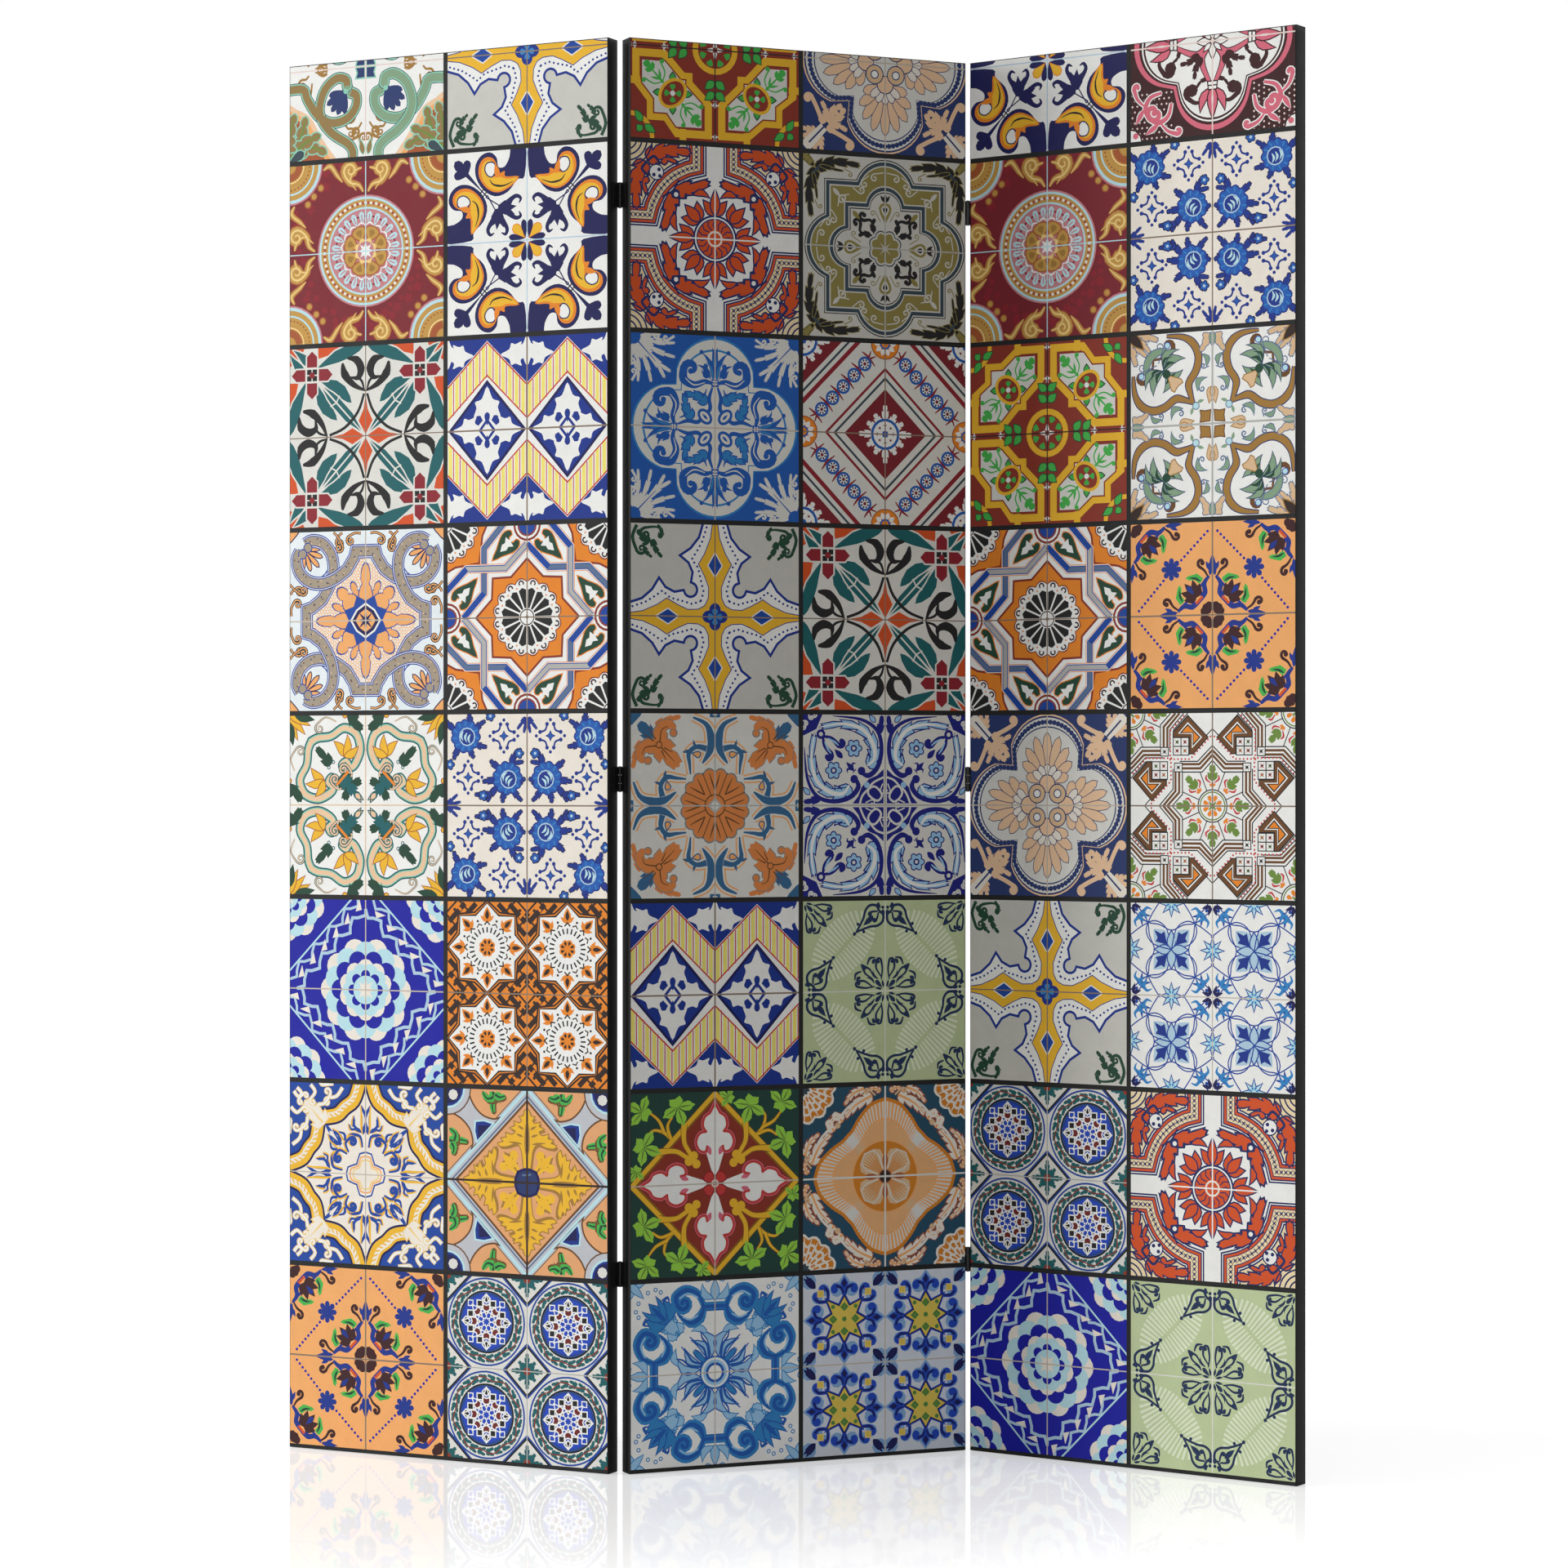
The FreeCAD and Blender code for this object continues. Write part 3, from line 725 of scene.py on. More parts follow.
@design("wheat", "white", 1.6)
def orange_frame(b):
    b.turn("white", [[20+120j, 20+74j, 50+62j, 62+50j, 74+20j, 120+20j, 0, 120j][:6] + [120, 0, 120j]])
    frame = [22+110j, 22+77j] + smooth([33+74j, 50+65j, 65+50j, 74+33j]) + [77+22j, 110+22j]
    for width, glaze in ((24, "midnight"), (20.5, "white"), (18.5, "midnight"), (15.5, "burnt orange"),
            (10.5, "midnight"), (8.5, "wheat")):
        b.turn(glaze, stroke(frame, width))
    for spot in along(frame, 5.5):
        b.turn("midnight", star(spot, 4, 4.5, 1.1, 45))
    for spine, wide, lobes in (([80+82j, 58+93j, 28+92j], 24, 4), ([62+78j, 56+84j, 44+80j], 10, 2)):
        b.fold("burnt orange", acanthus(spine, wide, lobes, 0.5), "midnight", 1.8)
    b.fold("midnight", volute([80+80j, 72+86j, 66+80j], 3, 1, (3, 3, 2), 0.6))
    b.turn("white", disc(69+69j, 8.5, 12), "midnight", 1.4)
    for spot in (66+72j, 72+66j, 65+65j):
        b.turn("midnight", disc(spot, 2.2, 7))
    for radius in (30, 24, 18, 12):
        b.turn("midnight", stroke(arc(104+104j, radius, 180, 270, 8), 1.8))
    b.fold("burnt orange", acanthus([42+42j, 40+52j, 26+54j, 6+62j], 24, 3, 0.65), "midnight", 2.2)
    b.fold("burnt orange", leaf(26+47j, 6+44j, 8, -0.2), "midnight", 1.6)
    b.turn("white", disc(46+46j, 3.5, 9), "midnight", 1.6)
    for aim, long in ((-36, 22), (36, 22), (0, 25)):
        b.turn("burnt orange", leaf(18+18j, 18+18j + polar(long, 45 + aim), 13), "midnight", 1.6)
    for aim, long in ((-40, 22), (40, 22), (0, 30)):
        b.turn("burnt orange", leaf(25j, 25j + polar(long, 90 + aim), 12), "midnight", 1.6)
    b.once("white", disc(0, 25, 28), "midnight", 2.2)
    b.once("burnt orange", disc(0, 21.5, 28), "midnight", 1.4)
    for i in range(16):
        b.once("midnight", stroke([polar(10, 22.5 * i), polar(16, 22.5 * i + 9), polar(21, 22.5 * i)], 1.3))
    b.once("burnt orange", disc(0, 8, 12), "cream", 2)


def rose(b, spot, size, lean):
    """A painted blue rose with its dark heart."""
    b.flip("azure", lobed(spot, 11, size, 0.12, lean, 4), "deep blue", 1.6)
    for i in range(11):
        aim = lean + 360 * (i + 0.5) / 11
        b.flip("sky", stroke([spot + polar(size * 0.62, aim), spot + polar(size * 0.9, aim + 6)], 1.4))
    b.flip("deep blue", disc(spot + polar(size * 0.1, lean), size * 0.52, 12), "pale blue", 1.4)
    for step in (-0.26, 0.02, 0.26):
        foot = spot + polar(size, lean) * (step - 0.25j)
        b.flip("ice", leaf(foot, foot + polar(size * 0.62, lean + 70), 3, 0.25))


@design("stone", "grey", 1.6)
def lobed_frame(b):
    def frame(square, centre, radius):
        reach = math.degrees(math.acos((square - centre) / radius))
        quarter = arc(centre, radius, 0, reach, 6) + [square * (1+1j)] + arc(centre * 1j, radius,
            90 - reach, 90, 6)
        return around(quarter[:-1])
    steps = ((74.5, 60, 38.5, "black"), (73.5, 60, 37.3, "stone"), (72.2, 59.5, 36.3, "slate"),
        (68.2, 58, 33.8, "stone"), (66.5, 57.5, 32.8, "antique gold"), (50.5, 45, 24.5, "stone"),
        (49, 44.5, 23.5, "slate"), (45, 43.5, 20.5, "stone"), (43.5, 43, 19.5, "black"),
        (42.3, 42.5, 18.8, "stone"))
    for square, centre, radius, glaze in steps:
        b.once(glaze, frame(square, centre, radius))
    for points, side in (([58+44j, 56+54j], 1), ([66+40j, 60+32j], 1), ([80+20j, 74+28j], 1),
            ([84+2j, 82+14j], 1)):
        b.fold("stone", volute(points, 4.5, side, (1.2, 1.8, 1.2), 1))
    b.turn("stone", leaf(64+64j, 54+54j, 5))
    for points, wide, lobes in (([85+84j, 62+93j, 30+90j], 17, 4), ([80+88j, 66+85j, 50+83j], 6, 2),
            ([86+88j, 97+93j, 92+100j], 8, 2)):
        b.fold("black", acanthus(points, wide, lobes, 0.45), "antique gold", 0.8)
    b.fold("antique gold", volute([50+86j, 42+82j], 3, 1, 1.2, 0.9))
    b.turn("antique gold", stroke([102+102j, 90+90j], 6))
    b.turn("slate", stroke([80+87j, 87+80j], 3))
    b.fold("black", volute([14+16j, 17+30j, 26+30j], 5.5, 1, (2, 4, 3.5), 0.7, 1.6)
        + acanthus([13+18j, 16+26j, 12+33j], 10, 2, 0.5))
    b.turn("antique gold", leaf(40+40j, 31+31j, 6))
    b.fold("antique gold", volute([6+30j, 12+40j], 3.5, -1, 1, 0.9))
    b.turn("antique gold", drop(26j, 52j, 17), "stone")
    b.turn("black", drop(36j, 47j, 8), "stone", 2)
    b.turn("black", leaf(51j, 62j, 4.5) + leaf(51j, 6+59j, 4) + leaf(51j, -6+59j, 4))
    b.once("slate", lobed(0, 8, 21, 0.15, 0, 6))
    b.once("stone", lobed(0, 8, 19.5, 0.15, 0, 6))
    b.once("antique gold", lobed(0, 8, 17.5, 0.2, 0, 6))
    b.once("stone", star(0, 8, 10, 2, 0))


@design("cream", "dark joint", 1.6)
def blue_roses(b):
    for foot, tip in ((22+45j, 4+48j), (20+46j, 10+62j), (36+42j, 46+50j), (40+28j, 56+26j),
            (38+20j, 50+4j), (44+12j, 66+12j), (16+16j, 6+5j), (28+13j, 30+3j), (10+24j, 2+30j),
            (62+66j, 50+64j), (64+84j, 52+93j), (70+92j, 72+102j), (86+62j, 92+50j), (92+84j, 102+94j),
            (70+60j, 66+52j)):
        b.flip("deep blue", acanthus([foot, (foot + tip) / 2 + 1.5, tip], 10, 2, 0.5), "navy", 1)
    for aim in (50, 78, 102, 130):
        b.flip("deep blue", acanthus([-98j + polar(2, aim), -98j + polar(10, aim), -98j + polar(20, aim)],
            8, 2, 0.5) + acanthus([-102 + polar(2, aim - 90), -102 + polar(10, aim - 90),
            -102 + polar(20, aim - 90)], 8, 2, 0.5))
    for spot in (10+57j, 55+11j, 46+98j, 97+45j):
        b.flip("azure", lobed(spot, 5, 6, 0.3, 0, 4), "navy")
        b.flip("pale blue", disc(spot, 1.8, 7))
    rose(b, 24.5+30j, 18.5, 225)
    rose(b, 77+76j, 18.5, 200)
    for spot in (29+76j, 74+31j):
        b.flip("deep blue", star(spot, 4, 6.5, 3, 90))
        b.flip("azure", star(spot, 4, 4, 1.8, 90))
        for aim in (45, 135, 225, 315):
            hook = [spot + polar(13.5, aim - 27), spot + polar(9, aim), spot + polar(13.5, aim + 27)]
            b.flip("deep blue", stroke(smooth(hook), 2.2) + disc(hook[0], 2.4, 7) + disc(hook[2], 2.4, 7))
        for aim in (0, 90, 180, 270):
            b.flip("deep blue", disc(spot + polar(17.5, aim), 2, 7))


@design("bone", "dark joint", 1.2)
def bows(b):
    b.turn("burnt orange", [[74+110j, 84+93j, 93+84j, 110+74j, 110+110j]])
    b.fold("burnt orange", [[20+110j, 24+97j, 62+88j, 62+110j]])
    b.fold("teal", leaf(1+100j, 66+76j, 17, 0.04), "bone", 1.8)
    b.fold("teal", leaf(17+36j, 66+66j, 17, 0.1), "bone", 1.8)
    b.fold("teal", leaf(70+72j, 96+100j, 12, 0.1), "bone", 1.8)
    b.turn("teal", [[2+2j, 26+16j, 44+34j, 50+42j, 60+60j, 42+50j, 34+44j, 16+26j]], "bone", 1.8)
    b.turn("bone", stroke([0, 62+62j], (1.4, 2.4)) + stroke([34+46j, 38+38j, 46+34j], 1.6))
    b.turn("burnt orange", [[0, 17+10j, 30+3.5j, 48, 30-3.5j, 17-10j]], "bone", 1.8)
    b.turn("black", curve([47+2j, 27+10j, 10+27j, 2+47j], (3, 3.5, 3)))
    b.fold("black", curve([50j, 15+57j, 27+69j, 30+82j], (1.5, 6.5, 10, 2.5))
        + curve([24+87j, 12+85j, 6+75j, 10+65j, 20+66j], (1.5, 9, 10, 6, 1))
        + curve([2+51j, 4.5+60j, 10+66j], (2, 3, 3)))
    spot = 70+70j
    for turn in TURNS:
        b.turn("crimson", [[spot + p * turn for p in (8-7.5j, 21-7.5j, 28, 21+7.5j, 8+7.5j)]], "bone", 1.8)
    b.turn("black", square(spot, 7.5), "bone", 2)
    for turn in TURNS:
        b.turn("bone", stroke([spot, spot + 7.5 * turn], 1.4))
    b.turn("crimson", disc(spot, 3.6, 8))


@design("white", "dark joint", 1.8)
def zigzag(b):
    for left in (-100, 0, 100):
        spot = left + 50+0j

        def leafy(place, aim, size):
            shape = blob(-6, 12+10j, 10+20j, 22+16j, 30+18j, 34+8j, 50, 34-8j, 30-18j, 22-16j, 10-20j,
                12-10j, steps=3)
            b.once("white", moved(shape, place, aim, size))

        for way in (1, -1):
            band = [spot - 50 + way * 12j, spot + way * 60j, spot + 50 + way * 12j]
            tops = [p + way * 36j for p in band]
            b.once("deep blue", [[tops[0] + 2j * way, tops[1] + 2j * way, tops[1] + way * 70j,
                tops[0] + way * 90j]] + [[tops[2] + 2j * way, tops[1] + 2j * way, tops[1] + way * 70j,
                tops[2] + way * 90j]])
            for side in (-50, 50):
                leafy(spot + side + way * 72j, 90 * way, 0.62)
                leafy(spot + side + way * 82j, 180 if side > 0 else 0, 0.66)
            b.once("white", [band + tops[::-1]])
            for half in (0, 1):
                for i in range(6):
                    t = (i + 0.15) / 6
                    a = band[half] + (band[half + 1] - band[half]) * t
                    c = band[half] + (band[half + 1] - band[half]) * (t + 0.09)
                    b.once("lemon", [[a, c, c + way * 36j, a + way * 36j]])
                    b.once("red", stroke([c + 1.8, c + 1.8 + way * 36j], 1.2))
            b.once("red", stroke(band, 1.6) + stroke(tops, 1.6))
        gem = [spot + p for p in (47, 53j, -47, -53j)]
        b.once("deep blue", [gem])
        b.once("navy", stroke(gem, 3, True))
        for aim in (90, -90):
            leafy(spot + polar(6, aim), aim, 0.84)
        for aim in (0, 180):
            leafy(spot + polar(6, aim), aim, 0.76)
        b.once("white", disc(spot, 12, 12))
        b.once("white", [[spot + p for p in (9, 11j, -9, -11j)]], "deep blue", 3)
        b.once("deep blue", drop(spot + 5j, spot + 20j, 7) + drop(spot - 5j, spot - 20j, 7))


@design("azure")
def blue_flower(b):
    for lean, long, wide in ((0, 50, 10), (17, 46, 9), (34, 42, 8), (52, 34, 6)):
        way = polar(1, 225 - lean)
        foot = 96+96j + 8 * way
        b.fold("bone", acanthus([foot, foot + long * 0.55 * way, foot + long * way * polar(1, -6)], wide, 3,
            0.45))
    b.turn("azure", stroke([100+100j, 70+70j], (2, 0.6)))
    for points, side in (([98+48j, 93+56j], -1), ([99+66j, 93+68j], 1), ([62+93j, 70+95j], 1)):
        b.fold("bone", volute(points, 3.5, side, (3, 2.5, 1.5), 0.8))
    rim = around(arc(49, 46, -74, 74, 16) + [45+45j])[0]
    for share, glaze in ((1.035, "sky"), (1.01, "bone"), (0.9, "sky"), (0.875, "bone")):
        b.once(glaze, [[p * share for p in rim]])
    b.fold("azure", volute([3+48j, 12+50j, 25+46j, 37+52j, 37+64j], 8.5, 1, (3, 7, 10, 8, 3), 0.75, 2.2))
    b.fold("bone", curve([12+49j, 25+46j, 35+53j], (0.8, 1.6, 0.8)))
    for foot, tip, wide, bend in ((2+52j, 3+88j, 7, 0.05), (3+52j, 16+82j, 6, 0.16),
            (5+52j, 22+68j, 5, 0.2)):
        b.fold("azure", leaf(foot, tip, wide, bend))
        b.fold("sky", leaf(foot, foot + (tip - foot) * 0.7, wide * 0.4, bend))
    b.fold("azure", acanthus([8+54j, 12+62j, 10+70j], 12, 2, 0.4) + disc(16+82j, 2.5, 8))
    b.turn("bone", stroke([6j + 40j, 52j], 7), "azure", 1.4)
    for step in (0.45, 0.49):
        b.turn("azure", stroke([-4.5+100j * step, 4.5+100j * step], 1.3))
    b.fold("sky", acanthus([10+26j, 20+34j, 37+36j], 15, 3, 0.4), "azure", 1.4)
    b.fold("azure", curve([3+44j, 7+32j, 6+20j, 16+10j], (2, 4.5, 4.5, 3))
        + curve([10+42j, 13+36j, 20+40j], (1, 2.5, 0.8)))
    b.turn("bone", oval(12+12j, 8.5, 5.8), "azure", 3)
    b.turn("azure", leaf(9+9j, 15+15j, 3))


@design("bone", "dark joint")
def diamonds(b):
    def band(low, high, glaze):
        b.turn(glaze, [[low, high, high * 1j, low * 1j]])

    for low, high, glaze in ((60, 63.5, "slate"), (70, 74, "crimson"), (130, 137, "crimson"),
            (143, 146.5, "slate"), (153, 220, "burgundy")):
        band(low, high, glaze)
    b.once("burgundy", [[50, 50j, -50, -50j]])
    for i in range(6):
        spot = 19+84j + (64.5-64.5j) * i / 5
        b.turn("crimson", curve([spot + 7+9j, spot + 1+1j, spot - 9-7j], (1, 3, 1))
            + curve([spot - 2+8j, spot + 1+1j, spot + 8-2j], (1, 2.5, 1))
            + curve([spot - 8+2j, spot - 1-1j, spot + 2-8j], (1, 2.5, 1)))
    for i in range(5):
        spot = 25+77.5j + (52-52.5j) * i / 4
        b.turn("white", disc(spot, 7, 14), "azure", 2.6)
        b.turn("ink", petals(8, 2.2, 5.5, 2.2, 22.5, spot))
        b.turn("burgundy", disc(spot, 2, 8))
    b.turn("orange", disc(100, 17, 18), "rust")
    b.turn("white", leaves(10, 6, 14, 6, 18, 100))
    b.turn("azure", ring(100, 5.5, 2, 10))
    for centre, copies in ((0, ONCE), (100+100j, QUARTERS)):
        b.mark(copies, "white", [p for i in range(12) for p in acanthus([centre + polar(10, 30 * i),
            centre + polar(33 - 7 * (i % 3 > 0), 30 * i)], 13, 3)])
        b.mark(copies, "azure", ring(centre, 16, 3, 18))
        b.mark(copies, "white", leaves(8, 3, 13, 6, 22.5, centre))
        b.mark(copies, "azure", disc(centre, 4, 8))


@design("white", "grey", 2.2)
def trefoils(b):
    half = [23.5+23.5j, 27+34j, 28.5+45j, 20+58j, 17+73j, 23+87j, 36+95j, 56+97j]
    line = smooth(half)
    whole = swapped(line[::-1]) + line[1:]
    widths = (2, 7.5, 7.5, 7, 3, 7, 7.5, 7.5, 2)
    b.turn("ink", stroke(whole, tuple(w + 2.4 for w in widths)))
    b.turn("ochre", stroke(whole, widths))
    for foot, tip, wide in ((97+97j, 66+93j, 15), (95+95j, 76+80j, 12)):
        b.fold("sand", acanthus([foot, (foot + tip) / 2+3j, tip], wide, 3, 0.6), "steel", 1)
    b.turn("dark brown", leaf(102+102j, 84+84j, 12), "ochre")
    for glaze, grow in (("steel", 2.4), ("sage", 0)):
        b.turn(glaze, curve([82+56j, 79+70j, 70+79j, 56+82j], (3 + grow, 7.5 + grow, 7.5 + grow, 3 + grow)))
    b.fold("brown", volute([72+72j, 60+74j, 50+80j], 7.5, -1, (2, 6, 4), 0.8, 0.5))
    b.fold("ice", disc(55+87j, 3.5, 9), "azure", 1)
    b.fold("steel", volute([66+68j, 60+84j], 5, -1, 1.2, 0.9))
    for foot, tip, wide, bend in ((60+60j, 33+72j, 11, -0.22), (60+62j, 40+82j, 9, -0.3),
            (56+56j, 36+60j, 9, 0.25)):
        b.fold("sage", leaf(foot, tip, wide, bend), "ink", 1)
        b.fold("dark green", leaf(foot, foot + (tip - foot) * 0.6, wide * 0.4, bend * 1.2))
    b.turn("sand", [[55+55j, 50+38j] + smooth([46+36j, 42+42j, 36+46j]) + [38+50j]], "ochre")
    b.turn("dark green", disc(56+56j, 5, 12))
    for points, radius, side in (([8+50j, 16+46j, 16+38j], 3.5, -1), ([4+62j, 10+60j], 3, 1)):
        b.fold("steel", volute(points, radius, side, (1.2, 1.8, 1), 1))
    for foot, tip, wide, bend in ((18+36j, 6+50j, 7, -0.35), (7+62j, 14+76j, 6, 0.3)):
        b.fold("sage", leaf(foot, tip, wide, bend), "steel", 1)
    b.fold("sand", drop(4+22j, 1+40j, 10), "ochre", 1)
    b.fold("sand", oak([6+98j, 8+88j, 15+78j], 12, 3, 0.7), "steel", 1)
    b.fold("sage", leaf(2+98j, 1+84j, 5), "steel", 1)
    b.turn("ice", disc(20+20j, 4, 10), "steel", 1)
    b.fold("sage", leaf(18+24j, 10+26j, 4))
    b.turn("ochre", [[3+3j, 15+2j, 14+9j, 15+15j, 9+14j, 2+15j]], "brown")


@design("ice white")
def ribbons(b):
    field = around([78, 76+14j, 62+22j, 45+45j, 22+62j, 14+76j])
    b.once("cream", field)
    for i in range(11):
        for j in range(11):
            spot = complex(4 + 6.6 * i + 3.3 * (j % 2), 4 + 5.7 * j)
            if abs(spot) > 36 and spot.real + spot.imag < 84 and max(spot.real, spot.imag) < 74:
                b.turn("apricot", disc(spot, 3, 6))
                b.turn("cream", disc(spot, 2, 6))
    for foot, way, side in ((6+97j, 22+94j, -1), (30+98j, 38+90j, -1), (42+99j, 30+84j, 1)):
        b.fold("black", volute([foot, (foot + way) / 2+2j, way], 5.5, side, (3, 3.6, 2.6), 1.1, 1.8))
        b.fold("apricot", volute([foot, (foot + way) / 2+2j, way], 5.5, side, 1.3, 1.1, 1.8))
    b.turn("ice white", disc(67+67j, 20, 24), "blue", 1.4)
    for i in range(5):
        aim = 225 + (i - 2) * 27
        b.turn("apricot", drop(79+79j, 79+79j + polar(26 - 2 * abs(i - 2), aim), 6), "navy")
    half = [77j, 13+77j, 15+70j, 24+57j, 40+47j, 58+42j, 75+45j, 87+56j, 90+70j, 86+79j]
    first = half[:3] + smooth(half[3:])
    second = swapped(first)
    for line in (first, second):
        for glaze, width in (("blue", 16), ("white", 13.5), ("blue", 12), ("taupe", 10)):
            b.turn(glaze, stroke(line, width))
        b.turn("taupe", disc(line[-1] - 3.5 * (1+1j), 5.5, 10), "blue")
        for k, spot in enumerate(along(line, 4.5)):
            b.turn(("brown", "sand", "ink")[k % 3], disc(spot + polar(3.2, k * 137), 1.1, 5))
    b.turn("apricot", [[110+110j, 80+110j, 90+97j, 97+90j, 110+80j]], "navy", 1.4)
    for aim, long, wide in ((22.5, 46, 14), (67.5, 46, 14), (45, 50, 26), (0, 64, 22)):
        b.turn("blue", oak([polar(14, aim), polar(30, aim), polar(long + 2, aim)], wide + 3.5, 3, 0.6))
        b.turn("apricot", oak([polar(14, aim), polar(30, aim), polar(long, aim)], wide, 3, 0.55))
    b.once("blue", star(0, 8, 30, 22, 22.5))
    for radius, glaze in ((20, "white"), (17.5, "navy"), (13, "apricot")):
        b.once(glaze, star(0, 4, radius, radius * 0.86, 0))
    b.once("navy", star(0, 8, 13, 4, 0))


def wheel(b, centre, size, copies):
    """The scalloped black and white wheel of the orange star tile."""
    b.mark(copies, "brick", lobed(centre, 16, 43.5 * size, 0.1, 0, 5))
    b.mark(copies, "white", lobed(centre, 16, 42 * size, 0.1, 0, 5))
    for i in range(16):
        aim = i * 22.5 + 11.25
        spot = centre + polar(37.5 * size, aim)
        b.mark(copies, "wine", stroke(arc(spot, 2.8 * size, aim - 130, aim + 130, 6), 1.7 * size))
        b.mark(copies, "orange", disc(centre + polar(33.5 * size, aim + 11.25), 1.1 * size, 6))
        b.mark(copies, "black", [[centre + polar(10 * size, aim - 6), centre + polar(30 * size, aim - 9),
            centre + polar(32.5 * size, aim), centre + polar(30 * size, aim + 9),
            centre + polar(10 * size, aim + 6)]])
    b.mark(copies, "white", disc(centre, 8.5 * size, 16), "wine", 1.2 * size)
    b.mark(copies, "wine", disc(centre, 2 * size, 8))


@design("white", "dark joint")
def wheels(b):
    b.turn("orange", [[46+110j, 56+90j, 60+60j, 90+56j, 110+46j, 110+110j]], "brick", 2.4)
    b.once("orange", around([64, 44+20j, 43+43j, 20+44j]), "brick", 2.4)
    first = [80j, 27+54j, 76+54j, 106+26j]
    second = swapped(first)
    for line, glaze in ((first, "steel"), (second, "grey")):
        for coat, width in (("orange", 10), ("white", 8.4), ("blue", 7), (glaze, 5)):
            b.turn(coat, stroke(line, width))
    b.turn("blue", stroke(first[:2], 5) + stroke(second[2:], 5))
    heart = [0, 30+13j, 58+27j, 80+30j, 95+20j, 90+8j, 78+8j, 78-8j, 90-8j, 95-20j, 80-30j, 58-27j, 30-13j]
    middle = [34, 50+10j, 60+7j, 72+17j, 74+5j, 90, 74-5j, 72-17j, 60-7j, 50-10j]
    for spot, aim in ((44+62j, 137), (62+44j, -47)):
        b.turn("dark green", moved([smooth(heart, True, 2)], spot, aim, 0.42), "orange")
        b.turn("white", moved([middle], spot, aim, 0.42))
    for radius, glaze in ((17, "brick"), (14.5, "white"), (12, "brick"), (10, "blue")):
        b.turn(glaze, disc(100j, radius, 18))
    wheel(b, 0, 1, ONCE)
    wheel(b, 103+103j, 1, QUARTERS)


@design("apricot", "dark joint", 1.8)
def posies(b):
    b.fold("cobalt", beads([6+90j, 44+54j], 5.5, 1.7, 6))
    b.turn("deep blue", petals(8, 0, 12.5, 6.2, 0, 50+50j))
    for base, turn in ((0, 1), (100+100j, -1)):
        def posy(shape):
            mirror = [swapped(piece) for piece in shape]
            return moved(shape + mirror, base, 0, turn)
        b.turn("deep blue", posy(curve([16+14j, 9+24j, 10+34j, 4+42j], (3, 6, 5.5, 3)))
            + posy(volute([10+36j, 15+30j, 13+22j], 3, -1, (2, 4, 2), 0.7))
            + posy(leaf(3+42j, 1+64j, 6) + leaf(3+48j, 8+58j, 5)))
        b.turn("wine", posy(volute([6+42j, 10+48j, 16+52j], 5, 1, (2, 3.5, 3), 0.7, 1.9)))
        b.turn("grass", posy(acanthus([13+36j, 22+42j, 33+39j], 11, 1, 0.7)))
        b.turn("dark green", posy(leaf(14+36j, 29+40j, 3, 0.1)))
        b.turn("wine", moved(fan(3, 60, 0, 13, 9, 2+2j, 45), base, 0, turn))
        b.turn("burnt orange", posy(stroke([16+16j, 12+20j], 3)))
        for aim, long in ((-62, 15), (62, 15), (-32, 19), (32, 19), (0, 20)):
            tip = 20+20j + polar(long, 45 + aim)
            b.turn("wine", moved(leaf(19+19j, tip, 10), base, 0, turn))
        b.turn("deep blue", moved(drop(22+22j, 31+31j, 6), base, 0, turn))


@design("white", "sand", 1.2)
def vines(b):
    half = [30+36j, 33+45j, 25+50j, 19+42j, 13+47j, 7+62j, 12+79j, 28+86j, 45+77j, 62+75j, 71+71j]
    line = smooth(half) + swapped(smooth(half)[::-1])[1:]
    b.turn("teal", stroke(line, (5, 8, 12, 12, 11, 12, 11, 12, 12, 8, 5)))
    b.turn("mint", stroke(line, (2.5, 4.5, 8.5, 8.5, 7.5, 8.5, 7.5, 8.5, 8.5, 4.5, 2.5)))
    b.turn("peach", stroke(line, (1.2, 3, 6, 6, 5, 6, 5, 6, 6, 3, 1.2)))
    b.fold("teal", volute([20+28j, 18+36j, 24+44j], 6, -1, (2, 4.5, 3), 1.3))
    b.fold("peach", volute([20+28j, 18+36j, 24+44j], 6, -1, 1.8, 1.3))
    for lean, long in ((-48, 22), (0, 25), (48, 22)):
        b.fold("yellow", leaf(28+54j, 28+54j + polar(long, 100 + lean), 10, 0.12), "rust", 1)
    b.fold("dark green", acanthus([33+33j, 20+24j, 5+28j], 24, 3, 0.4))
    b.turn("teal", acanthus([32+32j, 18+18j, 7+7j], 20, 3, 0.4))
    b.fold("peach", leaf(15+13j, 3+6j, 7), "teal")
    b.turn("orange", curve([22+38j, 30+30j, 38+22j], 3))
    b.turn("dark green", acanthus([45+45j, 54+54j, 65+65j], 19, 2, 0.5))
    b.fold("teal", ring(42+48j, 1.8, 1, 8))
    b.fold("dark green", acanthus([16+102j, 15+92j, 3+84j], 22, 2, 0.6))
    b.fold("teal", volute([38+93j, 52+98j, 64+90j], 6, -1, (1.4, 3, 1.4), 1.2))
    b.fold("peach", volute([38+93j, 52+98j, 64+90j], 6, -1, 1, 1.2))
    for aim in (205, 225, 245):
        b.turn("yellow", leaf(103+103j, 103+103j + polar(34, aim), 10), "rust", 1)
    b.fold("dark green", leaf(93+100j, 66+95j, 11))
    b.fold("yellow", disc(27+100j, 3, 8), "rust", 1)


